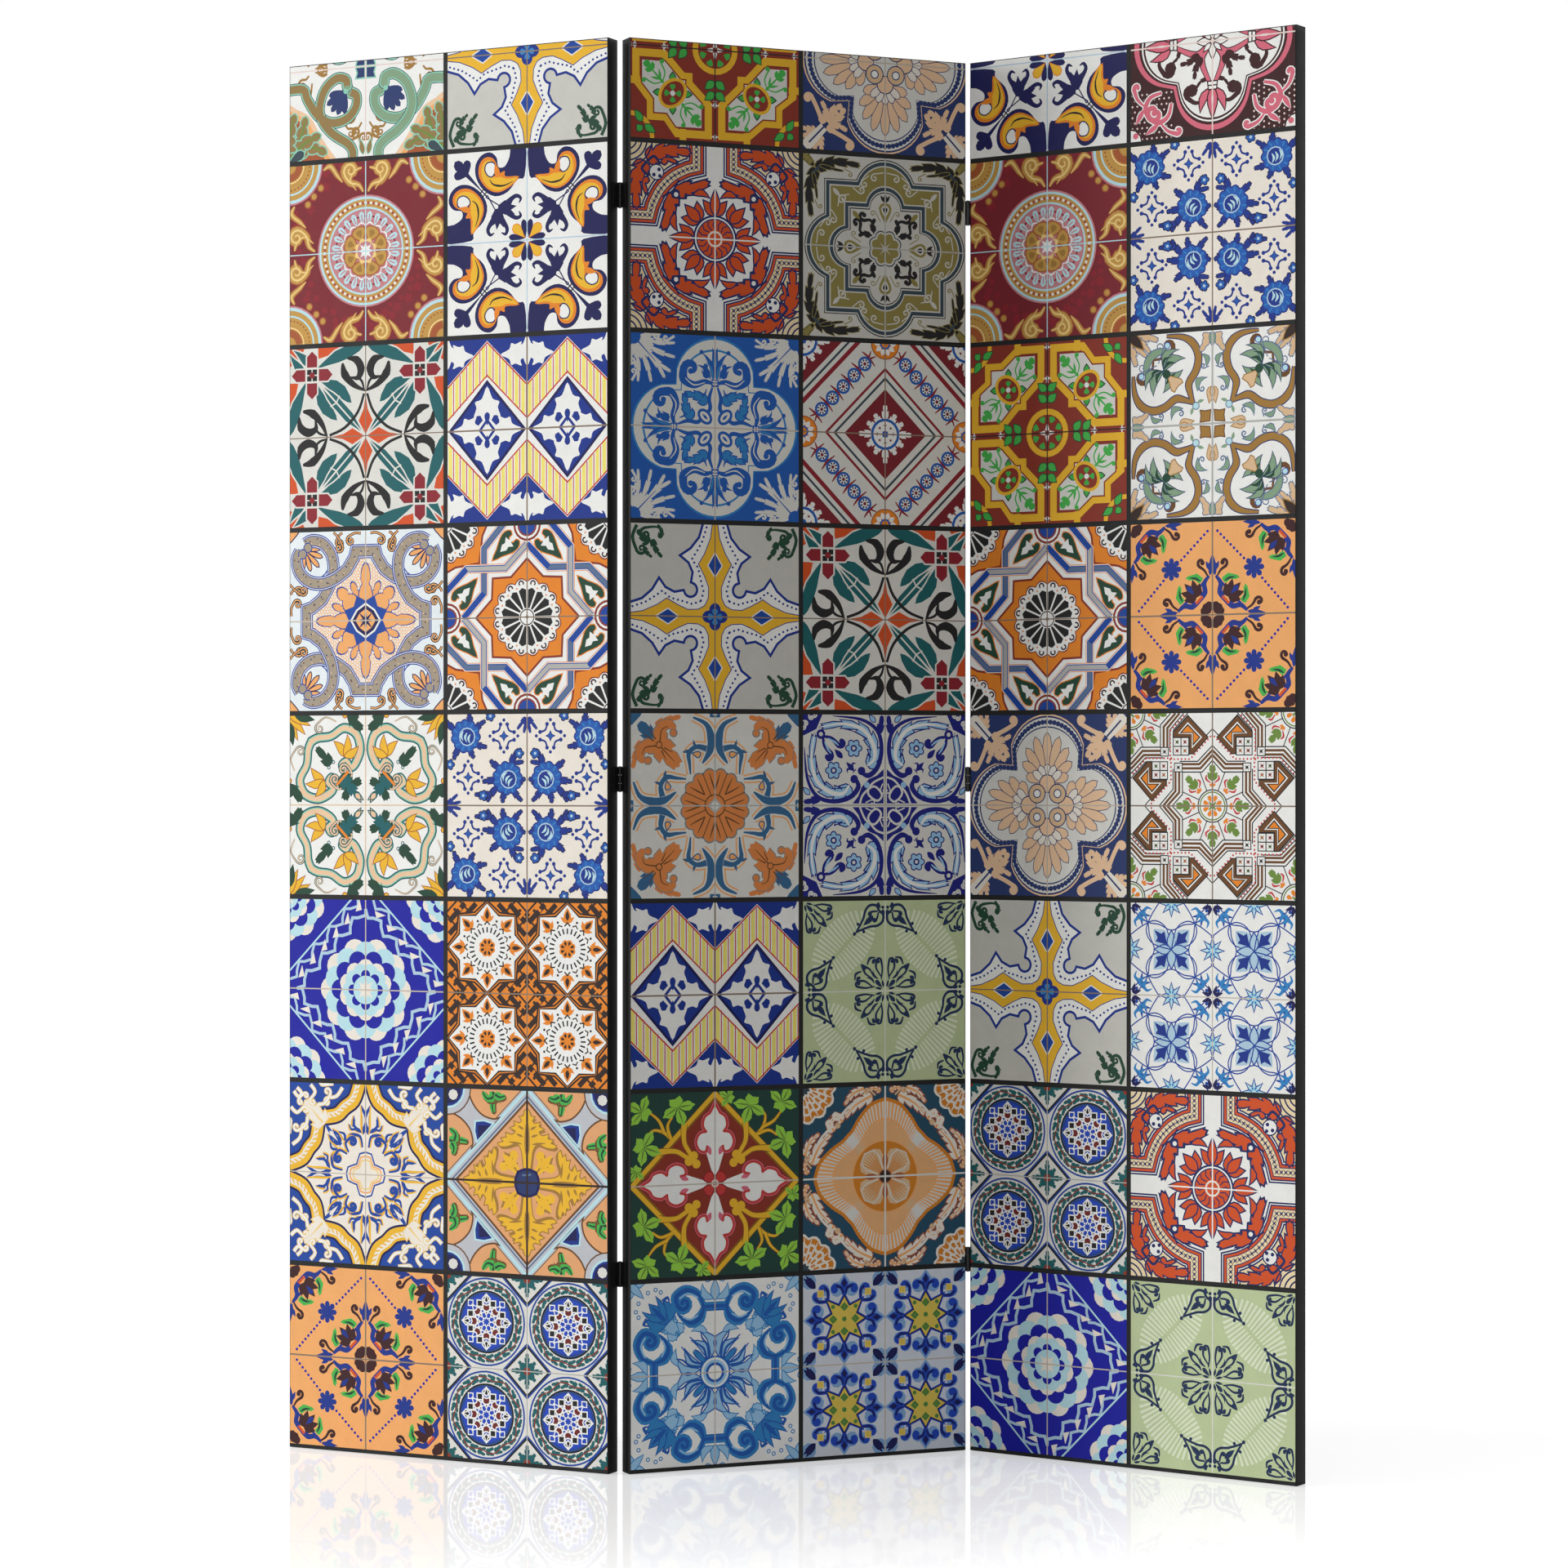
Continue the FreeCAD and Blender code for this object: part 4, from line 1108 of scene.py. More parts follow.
@design("bone", "grey")
def dolphins(b):
    body = smooth([26+96j, 11+89j, 5+76j, 6+60j, 15+46j])
    head = smooth([10+62j, 22+64j, 31+57j, 30+45j, 29+34j])
    for glaze, grow in (("apricot", 7.5), ("bone", 4), ("denim", 0)):
        b.fold(glaze, stroke(body, (2 + grow, 5 + grow, 9 + grow, 8 + grow, 1.5 + grow))
            + stroke(head, (7 + grow, 5 + grow, 5.5 + grow, 3.5 + grow, 1.5 + grow)))
    b.fold("denim", leaf(23+62j, 26+72j, 3.5) + leaf(28+60j, 39+58j, 4))
    b.fold("apricot", drop(27+57j, 17+55j, 7), "denim", 1.4)
    for piece in ([7j + 110, 96+6j, 96-6j, 110-7j], [80+110j, 88+97j, 97+88j, 110+80j, 110+110j]):
        b.turn("denim", [piece])
    b.turn("bone", star(99, 4, 3.5, 1.2, 0))
    b.fold("denim", acanthus([72+72j, 80+84j, 90+90j], 16, 2, 0.5))
    b.fold("tangerine", acanthus([86+70j, 93+55j, 97+40j], 13, 3, 0.6))
    for grow, glaze in ((3, "mid grey"), (0, "tangerine")):
        b.fold(glaze, oak([64+68j, 64+83j, 55+89j, 46+83j], 17 + grow, 2, 0.85)
            + disc(49+79j, 3.5 + grow / 2, 9))
        b.turn(glaze, acanthus([67+67j, 56+56j, 42+42j], 34 + grow, 2, 0.5))
    for line in ([65+68j, 63+82j, 55+86j], [60+63j, 50+58j], [64+64j, 48+48j], [70+72j, 78+84j]):
        b.fold("brown", stroke(smooth(line), (1.6, 1.2, 0.6)))
    b.turn("tangerine", disc(66+66j, 3.5, 10), "brown")
    b.once("mid grey", lobed(0, 16, 42, 0.1, 0, 4))
    b.once("tangerine", lobed(0, 16, 40, 0.1, 0, 4))
    for i in range(8):
        aim = 45 * i + 22.5
        b.once("brown", stroke([polar(12, aim), polar(39, aim)], 1.1))
        for side in (1, -1):
            b.once("brown", curve([polar(17, aim - 22), polar(26, aim - 22 + 7 * side),
                polar(36, aim - 22 + 10 * side)], (1.4, 1.8, 0.6)))
    b.once("brown", ring(0, 12, 1.4, 18))
    b.once("bone", [[7.5, 7.5j, -7.5, -7.5j]], "grey", 2)


@design("bone", "grey", 2)
def plumes(b):
    scroll = smooth([29+36j, 20+33j, 9+43j, 4.5+63j, 10+83j, 30+95j, 64+98.5j])
    plume = [22+44j, 13+52j, 15+68j, 28+84j, 52+90j, 80+86j]
    b.fold("powder", acanthus(plume, 20, 6, 0.45), "indigo", 1.4)
    b.fold("white", stroke(smooth(plume), (2, 5, 4, 0.8)))
    b.fold("indigo", curve([20+48j, 19+66j, 32+79j, 52+85j], 1.1)
        + stroke(scroll, (4, 6, 5.5, 5, 4.5, 3.5, 0.8)) + disc(29+38j, 4.8, 10)
        + acanthus([8+80j, 5+90j, 4+100j], 12, 2, 0.6))
    b.fold("powder", leaf(12+92j, 20+100j, 6), "indigo", 1)
    for spot in (38.5+63j, 63+38.5j):
        b.turn("powder", lobed(spot, 6, 10, 0.3, 0, 5), "indigo", 1.3)
        b.turn("bone", disc(spot, 3, 9), "indigo", 1.8)
    b.turn("indigo", fleur(38+38j, 45, 14) + leaf(52+52j, 62+62j, 7))
    b.fold("indigo", volute([76+76j, 66+74j, 57+66j], 5, -1, (2.5, 6, 4), 0.6))
    b.fold("powder", curve([70+74j, 62+70j, 57+66j], (1, 2.5, 1)))
    b.turn("indigo", [[84+84j, 110+72j, 110+110j, 72+110j]])
    for spot, side in ((97+86j, 1), (93+97j, -1)):
        b.fold("bone", volute([spot + 6j, spot], 3, side, 1.8, 0.9))
    b.turn("bone", disc(78.5+78.5j, 4, 10), "indigo", 3)
    b.turn("indigo", [[2+2j, 40+2j, 33+10j, 29+20j, 20+29j, 10+33j, 2+40j]])
    b.turn("bone", curve([2+31j, 12+27j, 21+14j, 12+4j, 5+10j, 13+21j, 24+16j, 31+2j], 2.4)
        + volute([3+24j, 6+17j], 3.5, -1, 1.4, 0.7) + volute([24+3j, 17+6j], 3.5, 1, 1.4, 0.7))
    b.turn("powder", disc(22.5+22.5j, 3.5, 10))


@design("white", "dark joint", 1.6)
def star_bands(b):
    bands = (([60j, 16+45j, 37+45j], 2.6, "brown"), ([55j, 14.5+40.5j, 37+40.5j], 2.6, "brown"),
        ([49j, 12.5+36.5j, 37+36.5j], 1.3, "black"), ([65j, 18+48j, 40+48j], 1.3, "black"))
    for line, width, glaze in bands:
        for side in (line, swapped(line)):
            b.turn(glaze, stroke(side, width) + stroke([100+100j - p for p in side], width))
    for line in ([51+50.5j, 27+50.5j, 77j], [51.5+50j, 51.5+81j, 32+100j]):
        b.turn("red", beads(line, 4.5, 1.2, 6) + [swapped(piece) for piece in beads(line, 4.5, 1.2, 6)])
    b.fold("black", stroke([83j, 29+55j, 47.5+55j, 47.5+82j, 30+100j], 1.2))
    arrows = (("black", [4.5+74j, 30+98.5j, 48.5+80j, 48.5+73.5j, 28.5+73.5j, 28.5+55.5j, 23+55.5j]),
        ("brown", [6+74j, 30+96.5j, 47.5+79j, 47+74.5j, 27.5+74.5j, 27.5+56.5j, 23.5+56.5j]),
        ("white", [12.5+74j, 30+90.5j, 42+78j, 25+77.5j, 25+62j]),
        ("black", [14.5+74j, 30+88.5j, 40+78.5j, 24+78.5j, 24+64.5j]),
        ("orange", [16.5+74j, 30+86.5j, 37+79.5j, 23+79.5j, 23+67.5j]))
    for glaze, arrow in arrows:
        b.fold(glaze, [arrow])
    for i, spot in enumerate((33.5+69j, 43+69j, 33.5+59.5j, 43+59.5j, 41.5+41.5j, 58.5+58.5j)):
        for place in (spot, spot.imag + 1j * spot.real):
            b.turn("white", square(place, 4.7), "black", 1.1)
            b.turn("red" if i in (0, 3) else "moss" if i in (1, 2) else "black",
                star(place, 4, 4.2, 0.9, 45))
            b.turn("red" if i == 2 else "black", star(place, 4, 2.4, 0.8, 0))
    for centre, copies in ((0, ONCE), (100+100j, QUARTERS)):
        for i in range(8):
            aim = 45 * i
            b.mark(copies, "moss", moved(acanthus([0, 9, 18], 16, 2, 0.35), centre + polar(27, aim), aim))
            b.mark(copies, "orange", moved(leaf(0, 6, 3.5) + leaf(0, 3+4j, 3) + leaf(0, 3-4j, 3),
                centre + polar(21, aim), aim))
            for side in (1, -1):
                hook = [centre + polar(25, aim + 5 * side), centre + polar(30, aim + 15 * side),
                    centre + polar(34, aim + 12 * side)]
                b.mark(copies, "red", curve(hook, (1, 2.4, 1.2)))
            b.mark(copies, "black", stroke([centre + polar(17.5, aim + 22.5),
                centre + polar(40, aim + 22.5)], 1.1))
        b.mark(copies, "white", disc(centre, 17.5, 28), "black", 1.3)
        b.mark(copies, "moss", ring(centre, 15, 1.4, 28))
        b.mark(copies, "orange", petals(8, 4, 12, 5, 22.5, centre))
        b.mark(copies, "moss", leaves(4, 0, 7, 2.5, 45, centre))


@design("cobalt")
def rosettes(b):
    steps = [90j]
    for i in range(9):
        here = steps[-1]
        steps += [here + 10-3j, here + 10-10j] if i % 2 else [here + 3-10j, here + 10-10j]
    for shift, width in ((0, 3.5), (10+10j, 3)):
        b.turn("pale blue", stroke([p + shift for p in steps], width))
    for i in range(6):
        spot = 12+88j + (15-15j) * i
        b.turn("cream", [[spot, spot + 14-5j, spot + 2-8j]])
    b.turn("ice", stroke([14+105j, 105+14j], 2))
    for centre, size, copies in ((0, 1, ONCE), (102+102j, 0.85, QUARTERS)):
        for inner, lobes, glaze, lean in ((44, 14.5, "cream", 0), (40, 14, "ice", 18),
                (33, 11.5, "cobalt", 0)):
            for i in range(10):
                b.mark(copies, glaze, disc(centre + polar(inner * size, 36 * i + lean), lobes * size, 16))
        for inner, lobes, glaze, lean, count in ((24, 10.5, "cream", 18, 10), (20, 10, "ice", 0, 10),
                (16.5, 6, "cobalt", 0, 8)):
            b.mark(copies, glaze, disc(centre, inner * size, 20))
            for i in range(count):
                b.mark(copies, glaze, disc(centre + polar(inner * size, 360 / count * i + lean),
                    lobes * size, 12))
        b.mark(copies, "ice", disc(centre, 16 * size, 20))
        b.mark(copies, "cream", star(centre, 8, 13 * size, 6 * size))


@design("orange", "dark joint")
def star_lace(b):
    spot = 50+50j
    knots = ([2+36j, 14+24j, 24+14j, 36+2j], [2+22j, 22+2j], [98+64j, 86+76j, 76+86j, 64+98j],
        [98+78j, 78+98j], [64+2j, 86+24j, 98+36j], [78+2j, 98+22j], [2+64j, 24+86j, 36+98j],
        [2+78j, 22+98j])
    for line in knots:
        b.turn("dark brown", stroke(line, 6))
    for aim in (45, 135, 225, 315):
        b.turn("orange", stroke([spot + polar(52, aim - 6), spot + polar(66, aim - 4)], 3))
        b.turn("dark brown", stroke([spot + polar(48, aim - 14), spot + polar(64, aim - 10),
            spot + polar(64, aim + 10), spot + polar(48, aim + 14)], 2.2)
            + disc(spot + polar(58, aim), 2, 7))
    b.turn("dark brown", star(spot, 8, 53, 42.5, 0))
    b.turn("orange", star(spot, 8, 50, 40.5, 0))
    b.turn("dark brown", star(spot, 8, 49.5, 39, 0))
    b.turn("white", star(spot, 8, 48, 37, 0))
    b.turn("orange", leaves(8, 28, 45, 10, 0, spot))
    b.turn("dark brown", leaves(8, 31, 42, 5, 0, spot))
    for i in range(8):
        for side in (1, -1):
            b.turn("orange", leaf(spot + polar(28, 45 * i), spot + polar(36, 45 * i + 14 * side), 4.5))
        b.turn("dark brown", disc(spot + polar(31, 45 * i + 22.5), 1.5, 6)
            + stroke([spot + polar(25, 45 * i - 8), spot + polar(28.5, 45 * i),
            spot + polar(25, 45 * i + 8)], 1.6) + stroke([spot + polar(25, 45 * i + 14.5),
            spot + polar(27.5, 45 * i + 22.5), spot + polar(25, 45 * i + 30.5)], 1.4))
    for i in range(24):
        b.turn("black", stroke([spot + polar(16.5, i * 15), spot + polar(22.5, i * 15)], 1.8))
    b.turn("orange", lobed(spot, 8, 10.5, 0.15, 0, 4))
    b.turn("dark brown", petals(8, 3.5, 8.5, 3.2, 22.5, spot))


@design("celadon", "bone", 1.2)
def green_fans(b):
    for i in range(17):
        t = 0.94 * (i - 8) / 8
        bulge = math.sqrt(1 - t * t)
        mid = 50+50j + 25 * (1j - 1) * t
        outer = 52+52j + 32 * (1j - 1) * t + 19 * (1+1j) * bulge
        inner = 46+46j + 30 * (1j - 1) * t - 15 * (1+1j) * bulge
        b.turn("pistachio", stroke([mid + 1.4 * (1+1j), outer], (1.8, 3))
            + stroke([mid - 1.4 * (1+1j), inner], (1.8, 3)))
    spade = [6, 2+16j, 16+30j, 36+29j, 56+16j, 78+7j, 98]
    whole = smooth(spade) + [p.conjugate() for p in smooth(spade)[::-1]][1:]
    parts = stroke(whole, (8, 7.5, 7, 6, 7, 7.5, 8))
    for side in (1, -1):
        parts = parts + volute([10+2j * side, 20+10j * side, 30+15j * side], 6, -side, (5, 7, 5), 0.8)
        parts = parts + disc(80+14j * side, 5, 8) + stroke([-2+5j * side, -6+20j * side], 9)
    parts = parts + leaf(28, 70, 17) + disc(106, 5.5, 8) + disc(-10, 5, 8)
    b.fold("deep slate", moved(parts, 6+90j, -40, 0.39))
    for place, size in ((0, 1), (100+100j, -0.95)):
        bits = volute([5+13j, 3.5+24j, 5+34j], 3.5, -1, (1.6, 2.8, 2.4), 0.7, 1.8)
        bits = bits + volute([5+16j, 11+25j, 11+32j], 3, -1, (1.6, 3, 2.2), 0.6, 1.8)
        bits = bits + curve([12+37j, 19+36j, 22+29j], (1.2, 3, 1.6)) + leaf(8+13j, 15+24j, 3, -0.2)
        bits = bits + volute([14+16j, 19+24j, 25+27j], 2.5, -1, (1.6, 2.8, 2), 0.6, 1.6) + leaf(2+4j, 4+13j,
            3)
        bits = bits + [swapped(piece) for piece in bits] + drop(3+3j, 12+12j, 5)
        bits = bits + curve([22+26j, 29+29j, 26+22j], 2)
        b.turn("deep slate", moved(bits, place, 0, size))


@design("white", width=1.2)
def fine_flowers(b):
    at = 50+50j
    for turn in TURNS:
        def tile(points):
            return [at + p * turn * 0.5 for p in points]
        b.turn("blue", curve(tile([-105+93j, -62+60j, -30+54j, 42j, 30+54j, 62+60j, 105+93j]), 1.4)
            + curve(tile([28+104j, 50+72j, 62+40j, 45+12j, 0]), 1.4)
            + curve(tile([-28+104j, -50+72j, -62+40j, -45+12j, 0]), 1.4))
        b.turn("pale blue", leaf(at + 6 * (1+1j) * turn, at + 22 * (1+1j) * turn, 20))
        b.turn("deep blue", [tile([10+10j, 17+39j, 25+34j, 42+42j, 34+25j, 39+17j])])
        b.turn("pale blue", leaf(at, at + 21 * turn, 11), "blue", 1.4)
    for side in (50, 50+100j, 100+50j):
        b.turn("ice", star(side, 8, 14.5, 6.5, 0), "blue", 1.4)
        b.turn("sky", petals(8, 2, 6, 2.5, 22.5, side))
    for place, turn in ((0, 1), (100+100j, -1), (100, 1j), (100j, -1j)):
        bits = disc(7+7j, 2.2, 8)
        bits = bits + stroke(smooth([20+5j, 13+12j, 14+24j]), (1.2, 5, 1))
        bits = bits + [swapped(piece) for piece in bits]
        b.turn("blue", moved(bits, place, 0, turn))
        tails = curve([9+16j, 5+20j, 7+26j], (4, 3, 0.8)) + leaf(10+10j, 18+20j, 5, 0.2)
        tails = tails + [swapped(piece) for piece in tails]
        b.turn("sky", moved(tails, place, 0, turn))
        b.turn("navy", moved(leaf(2+2j, 5+13j, 4.5) + leaf(2+2j, 13+5j, 4.5), place, 0, turn))


@design("cream", width=1.2)
def scallops(b):
    half = [6+110j, 10+95j, 16+82j, 27+74j, 36+66j, 48+63j, 60+62j]
    line = smooth(half)
    whole = line + swapped(line[::-1])[1:]
    b.turn("blue", [whole + [120+6j, 120+120j, 6+120j]])
    for width, glaze in ((20, "navy"), (15, "yellow")):
        b.turn(glaze, stroke(whole, width))
    b.turn("cream", stroke([p + 1.2 * (1+1j) for p in whole], 6))
    for spot, after in zip(along(whole, 6), along(whole, 6)[1:]):
        way = after - spot
        b.turn("yellow", leaf(spot + 2j * way / abs(way) * 1.6, after - 2j * way / abs(way) * 1.6, 2))
    b.turn("cream", acanthus([54+54j, 66+66j, 80+80j], 30, 3, 0.6), "straw")
    b.turn("straw", stroke([56+56j, 72+72j], (3, 0.6)))
    for points, radius, side in (([30+96j, 38+86j, 50+84j], 5, -1), ([62+76j, 53+78j, 46+88j], 5, -1),
            ([72+98j, 66+90j, 72+82j], 4.5, -1), ([90+94j, 84+88j, 88+80j], 3.5, -1),
            ([42+100j, 56+98j], 3.5, 1)):
        b.fold("straw", volute(points, radius, side, (5, 4, 3), 0.8))
        b.fold("white", volute(points, radius, side, (3, 2.4, 1.4), 0.8))
    for radius, glaze in ((25, "blue"), (20.5, "apricot"), (16.5, "straw")):
        step = [radius, radius * 0.92+0.3j * radius, radius * 0.6+0.42j * radius,
            radius * 0.46+0.46j * radius, radius * 0.42+0.6j * radius, radius * 0.3+0.92j * radius]
        b.once(glaze, stroke(around(step)[0], 1.8, True))
    for points, radius, side in (([4+30j, 7+42j, 16+44j], 5.5, -1), ([22+24j, 26+34j, 20+40j], 5, 1)):
        b.fold("yellow", volute([p + 1.2 for p in points], radius, side, (3, 6, 4), 1.1))
        b.fold("blue", volute(points, radius, side, (2, 4.5, 2.6), 1.1))
    for foot, tip, wide, bend in ((3+44j, 6+78j, 8, 0.12), (5+46j, 15+66j, 7, -0.2),
            (12+50j, 22+56j, 5, -0.2), (30+33j, 49+44j, 7, -0.15), (26+36j, 36+47j, 6, 0.2)):
        b.fold("yellow", leaf(foot + 1.4, tip + 1.4, wide * 1.35, bend))
        b.fold("blue", leaf(foot, tip, wide, bend))
        b.fold("cream", leaf(foot + (tip - foot) * 0.25, foot + (tip - foot) * 0.8, wide * 0.35, bend))
    b.turn("blue", acanthus([34+34j, 44+44j, 54+52j], 9, 2, 0.6))
    b.turn("cream", drop(36+36j, 47+47j, 4))


@design("terracotta", "dark brown", 2.4)
def fronds(b):
    b.turn("brown", stroke([98j, 98], 15))
    b.turn("pewter", stroke([99j, 99], 11.5))
    b.turn("steel", stroke([94.5j, 94.5], 1.8))
    b.turn("ice", stroke([1+101j, 101+1j], 3.5))
    web = [34+70j, 42+68j, 56+72j, 68+84j, 78+104j, 90+104j, 82+86j, 84+84j]
    stem = smooth(web[:6]) + [105+105j]
    stem = stem + swapped(stem[::-1])[1:] + [52+52j]
    b.turn("pewter", [stem], "brown", 2)
    b.turn("deep blue", [[42+63j, 54+66j, 65+65j, 66+54j, 63+42j]], "ice", 2)
    b.turn("navy", [[46+61j, 60+62j, 61+46j]])
    b.turn("pewter", disc(100+100j, 29, 24), "brown", 1.6)
    b.turn("deep blue", disc(100+100j, 21, 20), "ice", 2.5)
    b.turn("navy", disc(98+98j, 15, 16))
    b.turn("bone", disc(93+93j, 6, 8))
    for spine in ([42+98j, 44+86j, 42+74j], [42+92j, 50+90j, 56+98j], [40+95j, 34+92j, 27+94j]):
        shade = [p - 1.4-1.4j for p in spine]
        b.fold("brown", acanthus(shade, 15, 2, 0.7))
        b.fold("grass", acanthus(spine, 13, 2, 0.7))
        b.fold("dark green", stroke(smooth(spine), (3, 1.2)))
    arm = [5+17j, 7+34j, 13+42j, 23+39j, 33+38j, 37+42j, 30+44j, 33+48j, 26+49j, 27+54j, 19+52j, 15+56j,
        22+59j, 15+62j, 17+67j, 10+65j, 7+68j, 10+72j, 5+73j, 3+79j]
    frond = [2+14j] + arm + [80j]
    frond = smooth(frond, False, 2)
    frond = [frond + [-p.conjugate() for p in frond[::-1]][1:]]
    b.turn("ochre", moved(frond, 2-2.5j))
    b.turn("yellow", frond, "ochre")
    for base, tip in ((2+30j, 2+66j), (6+42j, 24+44j), (5+50j, 14+53j), (4+58j, 12+62j)):
        b.flip("ochre", leaf(base, tip, 2.8) + leaf(1j * base.conjugate(), 1j * tip.conjugate(), 2.8))
    for shift, glaze in ((1.8-2.2j, "ochre"), (0, "yellow")):
        b.turn(glaze, moved(fleur(17+17j, 45, 20), shift))
        b.fold(glaze, moved(volute([10+13j, 16+22j, 14+28j], 4, -1, (3, 5, 3), 0.8), shift))
    b.once("ink", [smooth([15, 12+10j, 10+12j, 15j, -10+12j, -12+10j, -15, -12-10j, -10-12j, -15j, 10-12j,
        12-10j], True, 2)], "navy", 3)
    b.once("steel", stroke([-6+8j, 5+9j], 2))


@design("bottle green")
def ivy(b):
    b.once("brick", [[97j, -97, -97j, 97]])
    b.turn("bronze", stroke([97j, 97], 7.5))
    b.turn("yellow", stroke([98j, 98], 5))
    rib = [36+66j, 37+56j, 36+45j, 31+36j, 22+22j]
    b.fold("bronze", curve(rib, (8.5, 6.5, 6, 6)))
    b.fold("yellow", curve(rib, (7, 5, 4.5, 4.5)))
    for spot in (25+31j, 31+25j, 22+22j, 28+28j):
        b.turn("yellow", disc(spot, 5, 10))
    side = [2.5+10j, 6+20j, 10+34j, 5+31j, 4.5+38j, 10+42j, 12+36j, 18+38j, 21+46j, 17+54j, 9+56j, 13+63j,
        11+72j, 5+76j, 85j]
    lily = smooth(side, False, 3)
    lily = [lily + [-p.conjugate() for p in lily[::-1]][1:]]
    b.turn("rose", [p for piece in lily for p in stroke(piece[6:-6], 7)])
    b.turn("red", [p for piece in lily for p in stroke(piece[14:-14], 5)])
    b.turn("white", lily)
    for aim in (45, 135, 225, 315):
        b.once("red", drop(0, polar(16, aim), 13), "crimson")
    b.once("blush", disc(0, 4.5, 10))
    b.once("brick", disc(0, 2.5, 8))
    stems = ([50+52j, 57+60j, 60+72j, 54+80j], [57+60j, 70+66j, 80+78j], [50+52j, 64+56j, 74+50j])
    for line in stems:
        b.turn("bronze", curve(line, (5, 4, 2.5)))
        b.turn("yellow", curve(line, (3.6, 2.8, 1.4)))
    for spot, aim, size in ((42+84j, 250, 0.22), (80+86j, 60, 0.2), (84+44j, 200, 0.22),
            (16+93j, 150, 0.13)):
        ivy = []
        for turn, long, wide in ((0, 100, 66), (78, 95, 60), (-78, 95, 60), (150, 60, 50), (-150, 60, 50)):
            ivy = ivy + drop(0, polar(long * 0.85, turn), wide * 0.85) + leaf(polar(10, turn),
                polar(long, turn), wide * 0.8)
        b.turn("leaf green", moved(ivy, spot, aim, size))
        b.turn("moss", moved(leaf(0, 90, 10) + leaf(0, polar(80, 78), 9) + leaf(0, polar(80, -78), 9), spot,
            aim, size))


@design("petrol", "bone", 2)
def sunburst(b):
    quarter = smooth([86, 80+17j, 66+31j, 52+40j, 46+46j, 40+52j, 31+66j, 17+80j, 86j], False, 4)[:-1]
    edge = around(quarter)[0]
    for points, wide in (([90+16j, 80+36j, 66+50j], 18), ([62+52j, 68+60j, 62+66j], 16),
            ([98+26j, 92+40j, 80+50j], 13), ([94+6j, 98+14j, 94+24j], 9)):
        b.fold("cream", acanthus(points, wide, 4, 0.5), "rust")
        b.fold("apricot", stroke(smooth(points), (3, 2, 0.8)))
    b.fold("cream", volute([88+30j, 78+45j, 66+56j], 5, -1, (2, 3.5, 2.5), 0.9))
    b.fold("sand", volute([90+12j, 97+20j], 4, 1, 2, 0.8))
    b.turn("sand", disc(58+58j, 3.5, 8))
    for radius, glaze, dip in ((43, "cream", 0.1), (40, "ochre orange", 0.1), (34, "cream", 0.12),
            (31, "ochre orange", 0.14), (25, "cream", 0.18), (22, "ochre orange", 0.2), (15, "cream", 0.2),
            (11, "slate", 0.2)):
        b.turn(glaze, lobed(102+102j, 14, radius, dip, 0, 4))
    for i in range(7):
        b.turn("cream", leaf(102+102j + polar(12, 186 + 13 * i), 102+102j + polar(42, 186 + 13 * i), 2.6))
    b.once("apricot", [edge], "ochre orange", 3.5)
    b.once("ochre orange", beads(edge + edge[:1], 5.5, 2.2, 6))
    for tip in edge:
        b.once("bone", stroke([tip * 0.97, tip * 0.76], (2, 1.4)))
        b.once("sand", stroke([tip * 0.74, tip / abs(tip) * 40], (1.4, 0.8)))
    b.once("ochre orange", disc(0, 39, 40))
    for aim in (45, 135, 225, 315):
        b.once("sand", drop(0, polar(35, aim), 34))
        for lean in (-18, -12, -6, 0, 6, 12, 18):
            b.once("ochre orange", stroke([polar(8, aim + lean), polar(20, aim + lean * 0.95),
                polar(31, aim + lean * 1.1)], (0.6, 1.2, 0.6)))
        b.once("bone", stroke([polar(10, aim - 26), polar(24, aim - 27), polar(33, aim - 18),
            polar(36, aim), polar(33, aim + 18), polar(24, aim + 27), polar(10, aim + 26)], 1.2))
    b.once("rust", petals(4, 4, 25, 7, 0))
    b.once("dark brown", disc(0, 7.5, 14), "rust")


